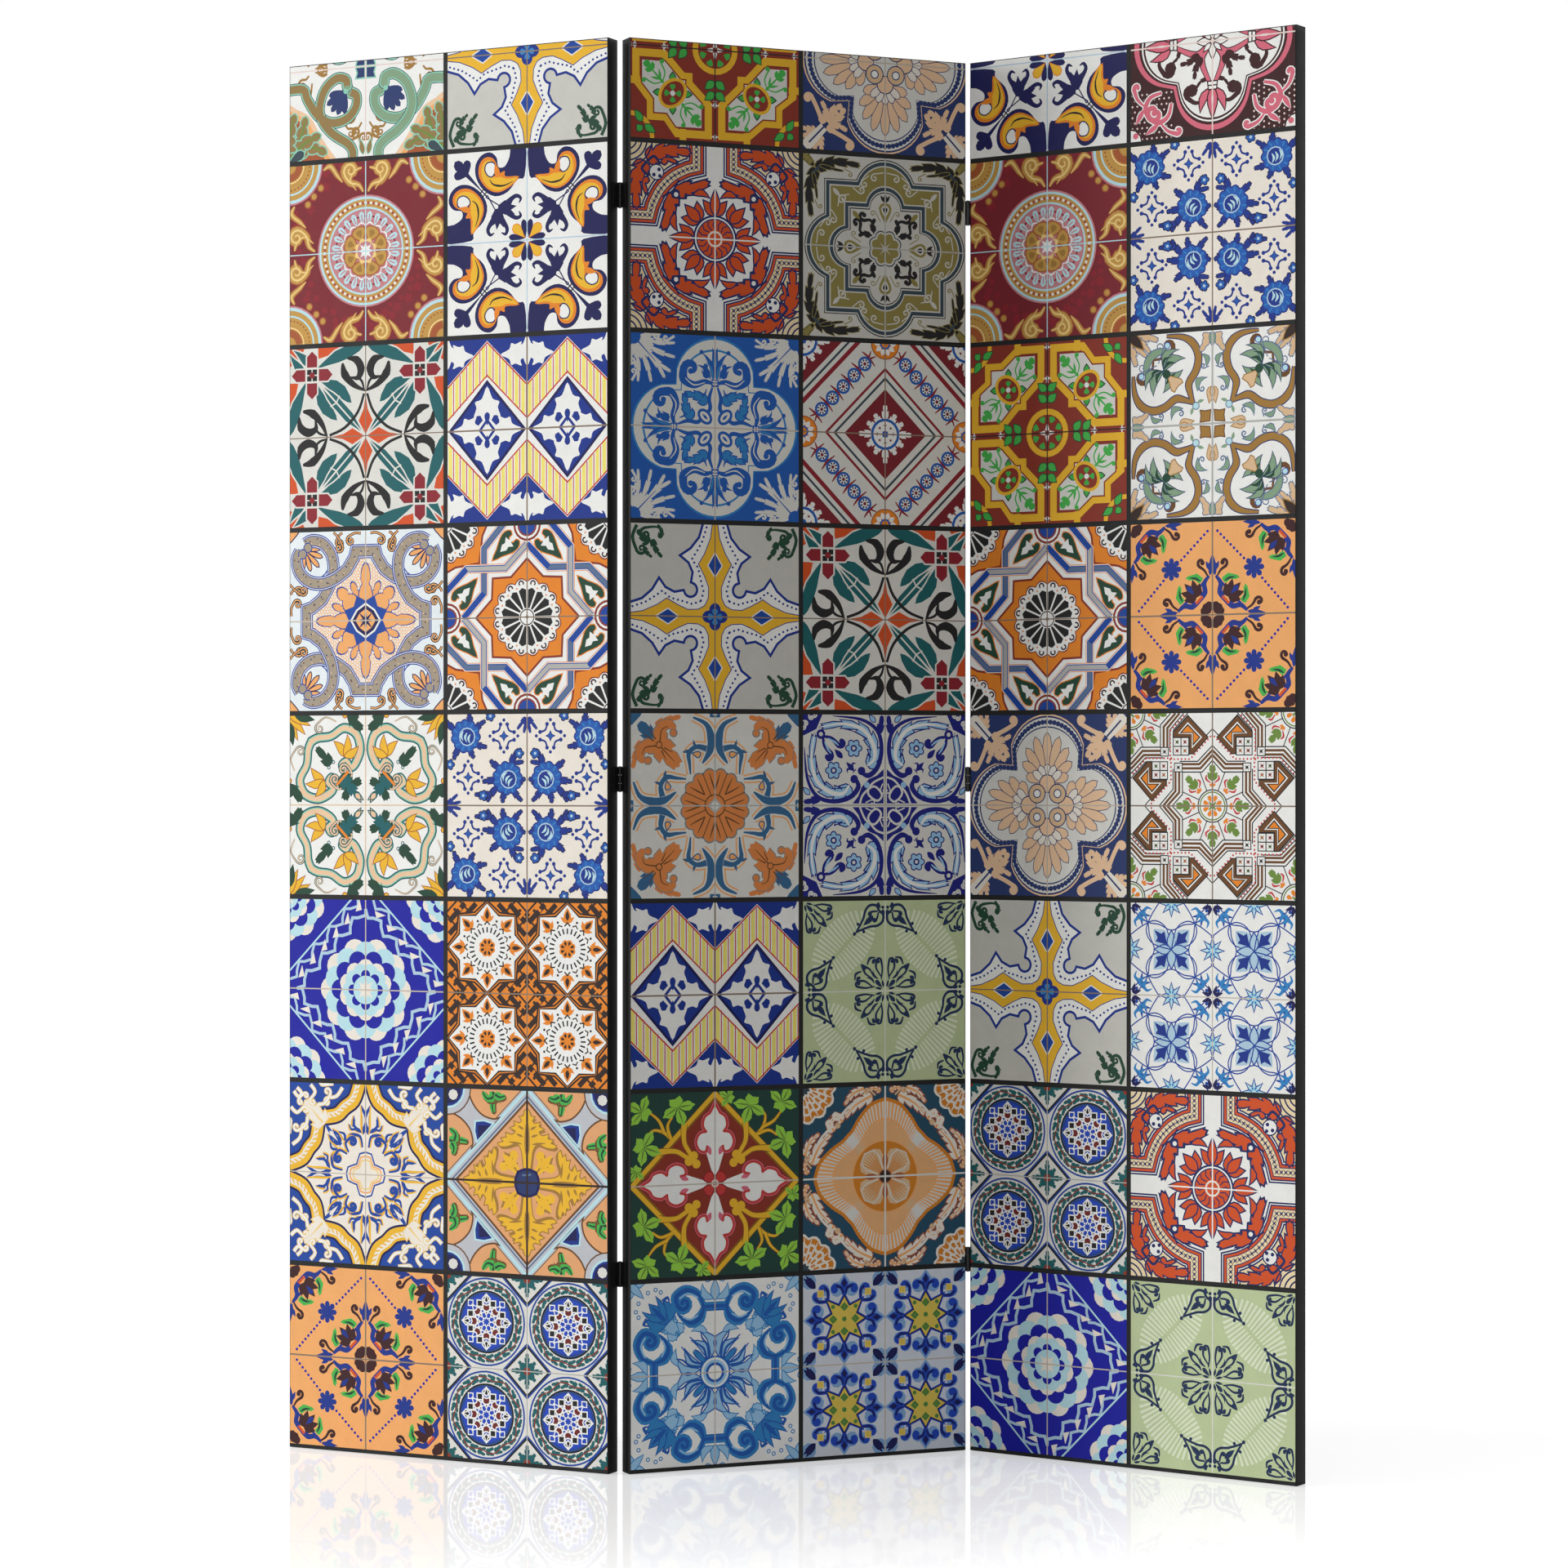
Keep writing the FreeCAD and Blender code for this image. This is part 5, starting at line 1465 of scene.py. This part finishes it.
@design("bone", "grey", 1.2)
def circles(b):
    at = 51+51j
    b.turn("blue", ring(at, 47.5, 2, 44))
    wave = [at + polar(40.5 + 2.2 * math.sin(math.radians(8 * a)), a) for a in range(0, 360, 6)]
    for i in range(24):
        aim = 15 * i
        foot = at + polar(40.5, aim)
        for lean, reach in ((9, 44), (10, 36.5)):
            b.turn("teal", acanthus([foot, at + polar((40.5 + reach) / 2, aim + lean * 0.6),
                at + polar(reach, aim + lean * 1.5)], 7.5, 2, 0.6))
    b.turn("brick", stroke(wave, 1.3, True))
    b.turn("azure", disc(at, 33.5, 40), "black", 2.2)
    b.turn("royal", disc(at, 31, 40), "ink")
    for i in range(8):
        aim = 45 * i
        kite = [at + polar(7.5, aim), at + polar(15, aim + 17), at + polar(20, aim + 12),
            at + polar(18, aim), at + polar(20, aim - 12), at + polar(15, aim - 17)]
        b.turn("oxblood", [kite], "white", 1.4)
        spot = at + polar(25.5 if i % 2 == 0 else 28, aim)
        if i % 2 == 0:
            b.turn("black", disc(spot, 5, 4), "white", 1.4)
        else:
            b.turn("white", stroke(square(spot, 3)[0], 1.2, True))
        b.turn("black", square(at + polar(21.5, aim + 22.5), 3.5), "white", 1.4)
    for i in range(8):
        b.turn("white", stroke([at + polar(30 if i % 2 == 0 else 26, 45 * i),
            at + polar(30 if (i + 3) % 2 == 0 else 26, 45 * i + 135)], 1.2))
    b.turn("royal", star(at, 8, 6, 3.5), "white")
    for centre, copies in ((0, ONCE), (100+0j, QUARTERS), (100+100j, QUARTERS)):
        diamond = [centre + p for p in (27, 27j, -27, -27j)]
        b.mark(copies, "bone", [[centre + (p - centre) * 1.1 for p in diamond]], "blue", 1.8)
        b.mark(copies, "black", stroke(diamond, 2.2, True))
        for i in range(8):
            aim = 45 * i
            reach = 20 if i % 2 == 0 else 15
            b.mark(copies, "teal", acanthus([centre + polar(3, aim), centre + polar(reach * 0.6, aim),
                centre + polar(reach, aim)], 10, 3, 0.5))
        b.mark(copies, "brick", disc(centre, 4.5, 10))


@design("white", width=1.2)
def wreath(b):
    for spine, wide in (([42+42j, 52+50j, 60+66j], 10), ([40+46j, 50+50j, 62+56j], 10),
            ([50+36j, 52+50j, 62+62j], 14)):
        b.fold("powder", acanthus(spine[::-1], wide * 1.9, 3, 0.6), "sky", 1)
    for foot, tip, wide, bend in ((56+56j, 62+82j, 13, 0.25), (56+56j, 78+78j, 16, 0),
            (60+58j, 70+86j, 8, 0.1)):
        b.fold("sky", leaf(foot, tip, wide, bend), "azure")
    b.turn("azure", leaf(58+58j, 76+76j, 6))
    b.fold("azure", curve([62+80j, 56+84j, 54+78j], (4, 3, 1)))
    for spot in (70+93j, 79+90j, 64+90j):
        b.fold("sky", ring(spot, 2, 1.1, 8))
    b.fold("powder", acanthus([102+102j, 92+98j, 84+102j], 12, 2), "sky", 1)
    b.turn("powder", leaf(102+102j, 84+84j, 9), "sky", 1)
    for glaze, grow in (("sky", 1), ("azure", 0.4)):
        b.fold(glaze, volute([13+72j, 20+86j, 34+91j, 46+84j, 44+74j], 7.5, -1,
            (6 * grow, 12 * grow, 12 * grow, 8 * grow), 0.9)
            + curve([13+72j, 18+60j, 30+55j, 45+66j], (6 * grow, 13 * grow, 10 * grow, 1))
            + stroke([72j, 16+72j], 10 * grow))
    b.fold("powder", curve([20+82j, 32+87j, 42+82j], 1.8) + curve([20+63j, 30+59j, 38+62j], 1.6))
    b.fold("azure", stroke([68j, 12+68j], 1.4))
    b.turn("powder", leaf(78j, 102j, 11), "sky", 1)
    b.fold("powder", leaf(2+80j, 15+97j, 9, -0.25), "sky", 1)
    b.fold("sky", volute([2+102j, 8+99j], 3, 1, 1.2, 0.8))
    for foot, tip, wide, bend in ((4+17j, 20+47j, 10, 0.26), (8+16j, 28+36j, 10, 0.18)):
        b.fold("powder", leaf(foot, tip, wide, bend), "azure", 1.4)
    b.fold("powder", leaf(9+44j, 28+46j, 8, 0.2), "sky", 1)
    for line in ([10+14j, 13+26j, 22+33j, 30+40j], [10+12j, 18+22j, 24+26j],
            [7+17j, 9+30j, 15+38j, 17+46j]):
        b.fold("azure", curve(line, (3, 2.4, 1.2)))
    b.turn("sky", leaf(12+12j, 26+26j, 6))
    b.once("powder", disc(0, 17.5, 28), "azure", 1.8)
    b.once("white", ring(0, 15, 2, 28))
    b.once("white", disc(0, 9.5, 20), "azure", 3)


@design("mist")
def yellow_stars(b):
    at = 50+50j
    for turn in TURNS:
        def tile(shape):
            return moved(shape, at, 0, turn)
        for side in (1, -1):
            b.turn("halo", tile(disc(9 * side + 33j, 8.5, 9) + disc(25 * side + 33j, 7, 9)))
        b.turn("halo", tile([[39.5j + p for p in (8.5, 11j, -8.5, -11j)]] + disc(43+43j, 9, 9)))
        for side in (1, -1):
            curls = ([0.6 * side + 27j, 3.5 * side + 34.5j, 10 * side + 37j],
                [20 * side + 22j, 20 * side + 31j, 24 * side + 36j])
            for line, radius in zip(curls, (4.5, 3.5)):
                b.turn("royal", tile(volute(line, radius, -side, (4, 4.8, 3.4), 0.75, 1.5)))
                b.turn("navy", tile(stroke(line, (1.2, 2, 2))))
        b.turn("royal", tile([[39.5j + p for p in (5, 7.5j, -5, -7.5j)]]))
        knot = leaf(36+36j, 50+47j, 6) + leaf(36+36j, 47+50j, 6) + leaf(35+35j, 42+48j, 5)
        b.turn("navy", tile(knot + leaf(35+35j, 48+42j, 5)) + tile([[39.5j + p for p in (3, 5j, -3, -5j)]]))
    tips = [polar(31.5 if k % 4 == 2 else 17 if k % 2 else 27, 22.5 * k) for k in range(16)]
    b.turn("maize", [[at + p for p in tips]], "navy", 2.6)
    b.turn("royal", stroke([at + p * 1.06 for p in tips], 1.4, True))
    for i in range(4):
        spot = at + polar(13.5, 90 * i)
        b.turn("fern", disc(spot, 5, 4))
        b.turn("moss", disc(spot, 2.2, 4))
        b.turn("fern", disc(at + polar(19.5, 90 * i + 45), 2.4, 8))
        b.turn("maize", square(at + polar(41, 90 * i + 45), 3.5), "straw", 1)
    b.turn("fern", disc(at, 2.8, 8))


GLAZE_NAMES = list(GLAZES)
BLOCK_HALF = 0.111
BLOCK_PITCH = 0.228
DRAWN = BLOCK_HALF / 100
TOP_ROW_DROP = 0.008
CANVAS_BACK = 0.0246
CANVAS_HEM = 0.034
CANVAS_ROLL = 0.0012
ROWS = {
    "left": ("palmettes yellow_cross", "roundel navy_scrolls", "bows zigzag", "ribbons wheels",
             "vines blue_roses", "rosettes star_lace", "scallops fronds", "posies circles"),
    "middle": ("gold_straps peach_flower", "orange_frame lobed_frame", "blue_flower diamonds",
               "yellow_cross bows", "dolphins plumes", "zigzag green_fans", "ivy sunburst",
               "wreath yellow_stars"),
    "right": ("navy_scrolls wine_flower", "roundel blue_roses", "gold_straps trefoils",
              "wheels posies", "peach_flower star_bands", "yellow_cross fine_flowers",
              "circles orange_frame", "rosettes green_fans"),
}


def cut_to(points, low, high):
    """The part of an outline inside a rectangle."""
    for way, limit in ((1, low.real), (-1, -high.real), (-1j, low.imag), (1j, -high.imag)):
        kept = []
        for i, point in enumerate(points):
            before = points[i - 1]
            this = (point * way).real - limit
            last = (before * way).real - limit
            if (this >= 0) != (last >= 0):
                kept.append(before + (point - before) * (last / (last - this)))
            if this >= 0:
                kept.append(point)
        points = kept
    return points


def printed_faces(block, low, high):
    """A block's top colours as triangles: their corners, the faces and each face's glaze."""
    corners = []
    outlines = []
    glazes = []
    for glaze, outline in block.marks:
        outline = cut_to(outline, low, high)
        turn = sum((outline[i - 1].conjugate() * p).imag for i, p in enumerate(outline))
        longest = max((abs(outline[i - 1] - p) for i, p in enumerate(outline)), default=0.0)
        if abs(turn) > longest * 0.1:
            outlines.append(list(range(len(corners), len(corners) + len(outline))))
            corners += [Vector((p.real, p.imag)) for p in (outline if turn > 0 else outline[::-1])]
            glazes.append(glaze)
    spots, _, faces, _, _, layers = delaunay_2d_cdt(corners, [], outlines, 1, 1e-3)
    tops = [glazes[max(under)] for under in layers]
    sides = {}
    for face, glaze in zip(faces, tops):
        for i, corner in enumerate(face):
            sides[face[i - 1], corner] = glaze
    lines = [(a, b) for (a, b), glaze in sides.items() if sides.get((b, a)) != glaze]
    used = {corner: i for i, corner in enumerate(sorted({c for line in lines for c in line}))}
    lines = [(used[a], used[b]) for a, b in lines]
    drawn = BVHTree.FromPolygons([spot.to_3d() for spot in spots], faces)
    spots, _, faces, _, _, _ = delaunay_2d_cdt([spots[c] for c in used], lines, [], 0, 1e-3)
    middles = [sum((spots[c] for c in face), Vector((0, 0))) / 3 for face in faces]
    return spots, faces, [tops[drawn.find_nearest(m.to_3d())[2]] for m in middles]


def canvas_mesh(panel):
    """One panel's cloth: the printed front, rolled edges, black sides and the hem on the back."""
    cloth = bmesh.new()
    print_layer = cloth.faces.layers.int.new("glaze")
    corners = {}

    def lay(points, glaze):
        """Add one flat face of the print."""
        spots = []
        for x, z in points:
            key = (round(x, 5), round(z, 5))
            if key not in corners:
                corners[key] = cloth.verts.new((x, 0.0, z))
            spots.append(corners[key])
        if len(set(spots)) == 3 and not cloth.faces.get(spots):
            cloth.faces.new(spots)[print_layer] = GLAZE_NAMES.index(glaze)

    left, right = CANVAS_ROLL, PANEL_WIDTH - CANVAS_ROLL
    foot, head = CANVAS_ROLL, PANEL_HEIGHT - CANVAS_ROLL
    ground_points = [Vector(corner) for corner in ((left, foot), (right, foot), (right, head), (left, head))]
    ground_lines = [(0, 1), (1, 2), (2, 3), (3, 0)]
    blocks = []
    for row, names in enumerate(ROWS[panel]):
        for column, name in enumerate(names.split()):
            height = PANEL_HEIGHT - TOP_ROW_DROP - row * BLOCK_PITCH
            middle = complex(BLOCK_HALF + column * BLOCK_PITCH, height)
            low = complex(max(left, middle.real - BLOCK_HALF), middle.imag - BLOCK_HALF)
            high = complex(min(right, middle.real + BLOCK_HALF), min(head, middle.imag + BLOCK_HALF))
            window = (low - middle) / DRAWN, (high - middle) / DRAWN
            spots, faces, glazes = printed_faces(DESIGNS[name](), *window)
            places = [middle + DRAWN * complex(*spot) for spot in spots]
            edges = {}
            for face, glaze in zip(faces, glazes):
                lay([(places[c].real, places[c].imag) for c in face], glaze)
                for i, c in enumerate(face):
                    edges[face[i - 1], c] = True
            blocks.append((low, high))
            for a, b in edges:
                if (b, a) not in edges:
                    ground_lines.append((len(ground_points), len(ground_points) + 1))
                    ground_points += [Vector((p.real, p.imag)) for p in (places[a], places[b])]
    spots, _, faces, _, _, _ = delaunay_2d_cdt(ground_points, ground_lines, [], 1, 1e-5)
    for face in faces:
        middle = sum((spots[c] for c in face), Vector((0, 0))) / 3
        if any(low.real < middle.x < high.real and low.imag < middle.y < high.imag for low, high in blocks):
            continue
        lay([spots[c] for c in face], "ground")

    ways = {}
    for edge in cloth.edges:
        if edge.is_boundary:
            this, that = edge.verts
            ways.setdefault(this, []).append(that)
            ways.setdefault(that, []).append(this)
    first = min(ways, key=lambda v: v.co.x + v.co.z)
    loop = [first, ways[first][0]]
    while loop[-1] is not first:
        loop.append([v for v in ways[loop[-1]] if v is not loop[-2]][0])
    loop.pop()
    places = [(v.co.x, v.co.z) for v in loop]
    area = sum(places[i - 1][0] * z - x * places[i - 1][1] for i, (x, z) in enumerate(places))
    if area < 0:
        loop.reverse()
        places.reverse()

    bends = [math.radians(a) for a in (30, 60, 90)]
    path = [(CANVAS_ROLL * (1 - math.sin(a)), CANVAS_ROLL * (1 - math.cos(a))) for a in bends]
    path = path + [(0.0, PANEL_DEPTH / 2)] + [(inset, CANVAS_BACK - back) for inset, back in path[::-1]]
    path = path + [(CANVAS_ROLL, CANVAS_BACK), (CANVAS_HEM, CANVAS_BACK)]
    uv = cloth.loops.layers.uv.new("OFBake")
    split = PANEL_HEIGHT - TOP_ROW_DROP - 3 * BLOCK_PITCH - BLOCK_HALF
    for face in cloth.faces:
        upper = face.calc_center_median().z > split
        for spot in face.loops:
            x, z = spot.vert.co.x, spot.vert.co.z
            spot[uv].uv = (0.49 * x / PANEL_WIDTH + 0.51 * upper, (z - split * upper) / split * 0.94)
    ring = loop
    for step, (inset, back) in enumerate(path):
        made = {}
        next_ring = []
        for x, z in places:
            if inset < CANVAS_ROLL:
                x = inset if x <= left + 1e-6 else PANEL_WIDTH - inset if x >= right - 1e-6 else x
                z = inset if z <= foot + 1e-6 else PANEL_HEIGHT - inset if z >= head - 1e-6 else z
            x = min(max(x, inset), PANEL_WIDTH - inset)
            z = min(max(z, inset), PANEL_HEIGHT - inset)
            key = (round(x, 6), round(z, 6))
            if key not in made:
                made[key] = cloth.verts.new((x, back, z))
            next_ring.append(made[key])
        for i in range(len(ring)):
            sides = (ring[i - 1], next_ring[i - 1], next_ring[i], ring[i])
            spots = list(dict.fromkeys(sides))
            face = cloth.faces.new(spots)
            face[print_layer] = GLAZE_NAMES.index("ground")
            face.smooth = True
            for spot in face.loops:
                turn = (i - 1 if spot.vert in sides[:2] else i) % len(ring) / len(ring)
                across = step + (1 if spot.vert in sides[1:3] else 0)
                spot[uv].uv = (turn, 0.95 + 0.05 * across / len(path))
        ring = next_ring
    mesh = bpy.data.meshes.new(f"{panel}_printed_canvas")
    cloth.to_mesh(mesh)
    cloth.free()
    glaze = [0] * len(mesh.polygons)
    mesh.attributes["glaze"].data.foreach_get("value", glaze)
    mesh.attributes.remove(mesh.attributes["glaze"])
    paint = mesh.attributes.new("print", "FLOAT_COLOR", "FACE")
    colours = [colour(GLAZES[name]) for name in GLAZE_NAMES]
    paint.data.foreach_set("color", [channel for g in glaze for channel in colours[g]])
    return mesh


def threads(start, way, scale, distortion=0.0):
    """Even ridges over a piece."""
    place = start.node("ShaderNodeTexCoord", output="Object")
    sockets = {"Vector": place, "Scale": scale, "Distortion": distortion}
    return start.node("ShaderNodeTexWave", {"bands_direction": way}, sockets)


printed_cloth, start = new_finish("printed_canvas")
painted = start.node("ShaderNodeAttribute", {"attribute_name": "print"})
cloudy = mottled(start, 45.0, 4.0, 0.6)
speckle = mottled(start, 420.0, 2.0)
tone = 0.84 + cloudy * 0.2 + speckle * 0.1
aged = start.node("ShaderNodeVectorMath", {"operation": "SCALE"}, {0: painted, "Scale": tone})
warp = threads(start, "X", 330.0)
weft = threads(start, "Z", 330.0)
close_finish(start, {"Base Color": aged, "Roughness": 0.55 + cloudy * 0.15, "Specular IOR Level": 0.3},
             warp + weft, 0.00006)

for panel, where in PLACES.items():
    canvas = bpy.data.objects.new(f"{panel}_printed_canvas", canvas_mesh(panel))
    bpy.context.scene.collection.objects.link(canvas)
    canvas.data.materials.append(printed_cloth)
    canvas.matrix_world = where
    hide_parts(f"{panel}_canvas")
    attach(canvas, f"{panel}_panel")

# Staples. Galvanised wire staples hold the canvas hem and the backing cloth to the bars.
# Their crowns lie along the panel's sides.
galvanised = mottled_finish("galvanised_wire", 700.0, 3.0, ("#a9acae", "#d5d6d4"), 1.0, (0.28, 0.2), 0.00002)
for panel in PLACES:
    wear_finish(f"{panel}_canvas_staples", galvanised)
    wear_finish(f"{panel}_backing_staples", galvanised)

# Backing cloths. A plain black cotton cloth closes each panel's back. Its raw edge is turned under and
# stapled over the canvas hem, and it hangs a little slack between the bars.
BACKING_MARGIN = 0.012
BACKING_SLACK = 0.0016
SLACK_SPREAD = 0.06
BAR_INSIDE = 0.03
TURNED_EDGE = 0.004
TURNED_DROP = 0.00035
STAPLE_LINE = 0.008
PUCKER_DEPTH = 0.00022
CROSSBAR_HEIGHTS = (PANEL_HEIGHT / 3, PANEL_HEIGHT * 2 / 3)
CROSSBAR_HALF = 0.020
ACROSS_CELLS = 48
HEIGHT_CELLS = 190


def backing_mesh(panel, seed):
    """A cloth with a turned edge, drawn in a little where no bar lies under it."""
    low_x, high_x = BACKING_MARGIN, PANEL_WIDTH - BACKING_MARGIN
    low_z, high_z = BACKING_MARGIN, PANEL_HEIGHT - BACKING_MARGIN
    points = []
    for j in range(HEIGHT_CELLS + 1):
        z = low_z + (high_z - low_z) * j / HEIGHT_CELLS
        for i in range(ACROSS_CELLS + 1):
            x = low_x + (high_x - low_x) * i / ACROSS_CELLS
            rim = min(x - low_x, high_x - x, z - low_z, high_z - z)
            turned = max(0.0, 1.0 - rim / TURNED_EDGE)
            over_bar = min(abs(z - height) for height in CROSSBAR_HEIGHTS) - CROSSBAR_HALF
            clear = min(1.0, max(0.0, min(rim - BAR_INSIDE, over_bar - 0.005) / SLACK_SPREAD))
            wave = noise.noise((x * 9.0, z * 3.5, seed))
            wave += 0.5 * noise.noise((x * 26.0, z * 12.0, seed + 7.0))
            at_staple = max(0.0, 1.0 - abs(rim - STAPLE_LINE) / 0.02)
            pucker = PUCKER_DEPTH * at_staple * math.sin(z * 84.0 + x * 90.0)
            slack = BACKING_SLACK * clear * (0.75 + 0.5 * wave) - pucker
            points.append((x, PANEL_DEPTH - TURNED_DROP * turned - max(0.0, slack), z))
    wide = ACROSS_CELLS + 1
    faces = []
    for j in range(HEIGHT_CELLS):
        for i in range(ACROSS_CELLS):
            a = j * wide + i
            faces.append((a, a + wide, a + wide + 1, a + 1))
    mesh = bpy.data.meshes.new(f"{panel}_backing")
    mesh.from_pydata(points, [], faces)
    mesh.shade_smooth()
    return mesh


black_cotton, start = new_finish("black_cotton")
warp = threads(start, "X", 260.0, 0.6)
weft = threads(start, "Z", 260.0, 0.6)
lint = mottled(start, 60.0, 6.0, 0.7)
dust = start.node("ShaderNodeValToRGB", {"stops": [(0.45, 0.0), (0.8, 1.0)]}, {"Fac": lint})
cotton = (warp * weft * 0.6 + dust * 0.4).mixed(colour("#0d0d0e"), colour("#2c2b2b"))
close_finish(start, {"Base Color": cotton, "Roughness": 0.8 + dust * 0.15, "Sheen Weight": 0.25,
                     "Sheen Roughness": 0.5, "Specular IOR Level": 0.25}, warp + weft, 0.00009)

for seed, (panel, where) in enumerate(PLACES.items()):
    backing = bpy.data.objects.new(f"{panel}_black_backing", backing_mesh(panel, seed * 11.0))
    bpy.context.scene.collection.objects.link(backing)
    backing.data.materials.append(black_cotton)
    backing.matrix_world = where
    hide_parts(f"{panel}_backing_cloth")
    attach(backing, f"{panel}_panel")

# Hinges. Three small steel butt hinges on each fold, black lacquered, with riveted steel pins
# and black countersunk screws. The lacquer is a little rubbed on the knuckles.
black_lacquer, start = new_finish("black_lacquer")
rub = mottled(start, 260.0, 5.0, 0.65)
bare = start.node("ShaderNodeValToRGB", {"stops": [(0.62, 0.0), (0.72, 1.0)]}, {"Fac": rub})
orange_peel = mottled(start, 1500.0, 1.0)
close_finish(start, {"Base Color": bare.mixed(colour("#121213"), colour("#4b4a49")), "Metallic": bare * 0.7,
                     "Roughness": 0.32 + rub * 0.25}, orange_peel, 0.00002)

pin_steel, start = new_finish("pin_steel")
turning = threads(start, "Z", 900.0, 1.0)
oil = mottled(start, 300.0, 3.0)
close_finish(start, {"Base Color": oil.mixed(colour("#8c8d8f"), colour("#bcbdbe")), "Metallic": 1.0,
                     "Roughness": 0.2 + oil * 0.25}, turning, 0.00001)

black_screw = mottled_finish("black_screw", 800.0, 4.0, ("#1a1a1c", "#343336"), 0.6, (0.4, 0.2), 0.00002)

for fold in ("left", "right"):
    for level in ("low", "middle", "top"):
        wear_finish(f"{fold}_{level}_hinge_side_leaf", black_lacquer)
        wear_finish(f"{fold}_{level}_hinge_centre_leaf", black_lacquer)
        wear_finish(f"{fold}_{level}_hinge_pin", pin_steel)
for panel in PLACES:
    wear_finish(f"{panel}_screws", black_screw)

# Studio floor. A wide pale floor that stays white to the camera, keeps the screen's shadow
# and mirrors it faintly.
POLISH = 0.34
POLISH_FULL = 0.15
POLISH_END = 1.1
FLOOR_GLOW = 0.74
bpy.ops.mesh.primitive_plane_add(size=60.0, location=(0, 0, -0.0005))
floor = bpy.context.object
floor.name = "floor"
pale_floor, start = new_finish("pale_floor")
spot = start.node("ShaderNodeTexCoord", output="Object")
spread = start.node("ShaderNodeVectorMath", {"operation": "MULTIPLY"}, {0: spot, 1: (0.5, 1.0, 0.0)})
away = start.node("ShaderNodeVectorMath", {"operation": "LENGTH"}, {0: spread}, output="Value")
fade = {"Value": away, "From Min": POLISH_FULL, "From Max": POLISH_END, "To Min": 1.0, "To Max": 0.0}
near = start.node("ShaderNodeMapRange", {"interpolation_type": "SMOOTHSTEP"}, fade)
lit = start.node("ShaderNodeBsdfDiffuse", {}, {"Color": (0.8, 0.8, 0.8, 1.0)})
ray = start.node("ShaderNodeLightPath")
strength = ray * (FLOOR_GLOW - near * 0.06)
seen = start.node("ShaderNodeEmission", {}, {"Color": (1, 1, 1, 1), "Strength": strength})
glow = start.node("ShaderNodeAddShader", {}, {0: lit, 1: seen})
polish = start.node("ShaderNodeBsdfGlossy", {}, {"Color": (1, 1, 1, 1), "Roughness": 0.03})
surface = start.node("ShaderNodeMixShader", {}, {0: near * POLISH, 1: glow, 2: polish})
start.node("ShaderNodeOutputMaterial", {}, {"Surface": surface})
floor.data.materials.append(pale_floor)

# Studio light. A white room gives an even fill, and a large soft lamp stands at the left, a little behind the
# middle panel, so it lights the two outer panels and leaves the fold on the right in shade.
FILL = 0.40
room = bpy.data.worlds.new("white_room")
room.use_nodes = True
room.node_tree.nodes.clear()
bpy.context.scene.world = room
start = Shade(room.node_tree)
camera_ray = start.node("ShaderNodeLightPath", output=0)
glossy_ray = start.node("ShaderNodeLightPath", output=3)
clear_ray = start.node("ShaderNodeLightPath", output=6)
seen = start.maths("MINIMUM", camera_ray + glossy_ray + clear_ray, 1.0)
strength = FILL + seen * (1.0 - FILL)
white = start.node("ShaderNodeBackground", {}, {"Color": (1, 1, 1, 1), "Strength": strength})
start.node("ShaderNodeOutputWorld", {}, {"Surface": white})


def soft_lamp(name, place, aim, width, height, power):
    lamp = bpy.data.lights.new(name, "AREA")
    lamp.shape = "RECTANGLE"
    lamp.size = width
    lamp.size_y = height
    lamp.energy = power
    stand = bpy.data.objects.new(name, lamp)
    bpy.context.scene.collection.objects.link(stand)
    stand.location = place
    stand.rotation_euler = (Vector(aim) - Vector(place)).to_track_quat("-Z", "Y").to_euler()
    return stand


soft_lamp("side_lamp", (-6.7, 1.85, 1.7), (0.0, 0.0, 0.86), 1.7, 1.7, 340.0)

# Camera, where the photograph was taken from: level, at the panels' mid height and to the left of the middle
# panel's front.
CAMERA_PLACE = (-2.0788, -4.5424, 0.830)
CAMERA_TURN = -23.27
lens = bpy.data.cameras.new("camera")
lens.sensor_width = 36.0
lens.sensor_fit = "HORIZONTAL"
lens.lens = 93.9
lens.shift_x = 0.0521
lens.shift_y = -0.002
camera = bpy.data.objects.new("camera", lens)
bpy.context.scene.collection.objects.link(camera)
camera.location = CAMERA_PLACE
camera.rotation_euler = (math.radians(90), 0, math.radians(CAMERA_TURN))
bpy.context.scene.camera = camera
bpy.context.scene.view_settings.view_transform = "Standard"
